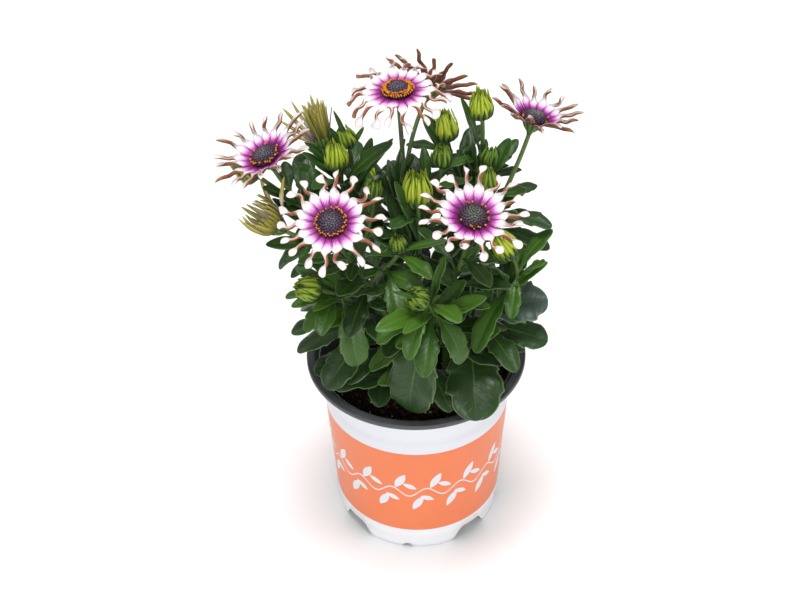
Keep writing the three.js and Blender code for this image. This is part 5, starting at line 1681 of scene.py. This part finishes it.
# The core is painted dark green: the painted shade seen in the gaps between the rolled petals.
bud_gap_shade = Finish("bud_gap_shade", Base_Color=(0.06, 0.11, 0.008, 1), Roughness=0.8)
for name in BUDS:
    bud_piece(name, SEEDS[name])

# %% [markdown]
# ## Closing flowers
#
# A flower that closes rolls each petal into a slim quill, and the quills stand up together so that
# only their olive backs show. They are the same sheets as the open petals, with more roll and less
# width. A few have stayed apart. In the flower that is only half closed, those few are still white, and
# the quills on the side of the light are short, so that its florets can be seen.

# %% Closing flowers
QUILL_WIDTHS = [(0, 2.6), (0.2, 3.6), (0.45, 4.0), (0.7, 3.5), (0.88, 2.4), (1, 0.7)]
QUILL_ROLLS = [(0, 60), (0.2, 110), (0.5, 190), (0.85, 250), (1, 230)]
STRAY_ROLLS = [(0, 20), (0.3, 40), (0.6, 260), (1, 250)]
QUILL_POINTS = 22
QUILL_FOOT_RADIUS = 3.2
# (turn in degrees, slope, length) of the petals of a closing flower that have stayed apart
STRAY_PETALS = {
    "flower_closed": [(165, 50, 25), (182, 42, 23), (200, 36, 20), (150, 58, 25), (176, 56, 26)],
    "flower_fading": [(20, 25, 23), (62, 44, 24)],
}
# How far the petals of the side that is turned to the light fall short of the others
SHORT_SIDE = {"flower_fading": 0.42}
# Radii and heights of the hub that carries the quills
QUILL_HUB = [(0.05, 0), (3, 0), (3.6, 0.7), (2.4, 1.4), (0.05, 1.4)]
HIDDEN_FLORETS = 44
# The slope of the outer petals at the foot, in the middle and at the tip, in degrees
CLOSING_SLOPES = {"flower_closed": (70, 86, 84), "flower_fading": (22, 74, 112)}


def closing_petals(name, seed):
    """The ring of rolled petals of one closing flower."""
    flower, piece = CLOSING_FLOWERS[name], Piece(name + "_quills")
    share = np.linspace(0, 1, QUILL_POINTS)
    low, middle, high = CLOSING_SLOPES[name]
    half_open = low < 45
    lit_side = facing(flower["axis"]).T @ LIGHT_SIDE
    petals = []
    for layer, count in ((0, flower["petals"] + 5), (1, flower["petals"])):
        for k in range(count):
            key = seed + k + 60 * layer
            turn = (k + 0.5 * layer + 0.5 * draw(key * 4.3)) / count * 2 * math.pi
            lit = np.dot([math.cos(turn), math.sin(turn)], unit(lit_side[:2]))
            reach = flower["length"] * (0.66 + 0.26 * draw(seed + k * 4.9)) * (0.94 if layer else 1)
            reach *= 1 - SHORT_SIDE.get(name, 0) * max(0, lit)
            inward = 10 * layer + 12 * (draw(seed + k * 3.3) - 0.6)
            slope = eased(share, [(0, low + inward), (0.45, middle + inward), (1, high + inward)])
            petals.append((turn, slope, reach, False))
    for turn, slope, reach in STRAY_PETALS[name]:
        petals.append((math.radians(turn), slope + 14 * share, reach, half_open))
    for k, (turn, slope, reach, fresh) in enumerate(petals):
        key = seed + 17 + k
        curl = math.radians(20) * (draw(key * 1.9) - 0.5)
        pitch = np.radians(slope) - curl * (share - 0.4) * 1.4
        heading = math.radians(34) * (draw(key * 2.7) - 0.5) * share
        start = QUILL_FOOT_RADIUS * np.array([math.cos(turn), math.sin(turn), 0]) + UP * 0.7
        path, lateral, normal = petal_path(start, turn, heading, pitch, reach)
        rolls = eased(share, QUILL_ROLLS) * (0.7 + 0.5 * draw(key * 3.7))
        rolls = eased(share, STRAY_ROLLS) if fresh else rolls
        widths = eased(share, QUILL_WIDTHS) * (0.85 + 0.3 * draw(key * 5.3)) * (1.25 if fresh else 1)
        add_petal(piece, path, lateral, normal, widths, rolls, draw(key * 1.1), share, float(fresh))
    piece.rings(turned(QUILL_HUB, CORE_SIDES))
    number = np.arange(HIDDEN_FLORETS)
    radius, angle = (0.78 if half_open else 0.4) * np.sqrt(number), number * GOLDEN_ANGLE
    places = np.column_stack([radius * np.cos(angle), radius * np.sin(angle), 5 - 0.07 * radius**2])
    shades = np.array([[draw(seed + i)] for i in number])
    points, faces, pits = floret_bud()
    frames = np.tile(np.diag([0.62, 0.62, 1.86]), (HIDDEN_FLORETS, 1, 1))
    piece.stamp((points, faces), places, frames, 1, shade=shades, out=0.2, pit=pits[None], moss=0.0)
    piece.moved(facing(flower["axis"]), flower["at"])
    piece.build([quill_olive, floret_purple], "closing_petal", name + "_petals")


def quill_finish():
    """Olive backs with pale edges. A petal that is still fresh keeps its magenta foot and white face."""
    quill = Finish("rolled_backs", Roughness=0.5, Specular_IOR_Level=0.3)
    along, tone = quill.number("along"), quill.number("tone")
    back = quill.steps(
        quill.maths("ADD", along, quill.maths("MULTIPLY", quill.maths("SUBTRACT", tone, 0.5), 0.25)),
        (0.0, (0.035, 0.06, 0.012)),
        (0.2, (0.08, 0.10, 0.018)),
        (0.45, (0.19, 0.18, 0.025)),
        (0.75, (0.38, 0.35, 0.06)),
        (1.0, (0.52, 0.44, 0.12)),
    )
    stripe = quill.smooth(quill.maths("ABSOLUTE", quill.number("across")), 0.5, 0.1)
    back = quill.blend(quill.maths("MULTIPLY", stripe, 0.6), back, (0.085, 0.06, 0.012))
    edge = quill.smooth(quill.maths("ABSOLUTE", quill.number("across")), 0.72, 0.95)
    back = quill.blend(quill.maths("MULTIPLY", edge, 0.75), back, (0.62, 0.60, 0.20))
    face = quill.steps(
        along,
        (0.0, (0.30, 0.05, 0.32)),
        (0.25, (0.62, 0.42, 0.58)),
        (0.45, (0.60, 0.56, 0.34)),
        (1.0, (0.50, 0.44, 0.14)),
    )
    fresh = quill.steps(
        along,
        (0.0, (0.25, 0.03, 0.27)),
        (0.14, (0.62, 0.30, 0.58)),
        (0.25, (0.85, 0.80, 0.82)),
        (0.5, (0.80, 0.72, 0.55)),
        (0.7, (0.55, 0.42, 0.10)),
        (1.0, (0.50, 0.42, 0.10)),
    )
    face = quill.blend(quill.number("worn"), face, fresh)
    back = quill.blend(quill.maths("MULTIPLY", quill.number("worn"), 0.8), back, fresh)
    quill.colour(quill.blend(quill.number("under"), face, back))
    quill.bumps(quill.noise(900), 0.08)
    return quill


quill_olive = quill_finish()
for name in CLOSING_FLOWERS:
    closing_petals(name, SEEDS[name])

# %% [markdown]
# ## Measure and finish
#
# The bounds of the solids and of the dressed plant are printed side by side.

# %% Finish
boxes = {"cad": [list(corner) for corner in cad_box], "visual": [list(corner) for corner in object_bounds()]}
for label, box in boxes.items():
    print(label, [[round(c, 4) for c in corner] for corner in box])
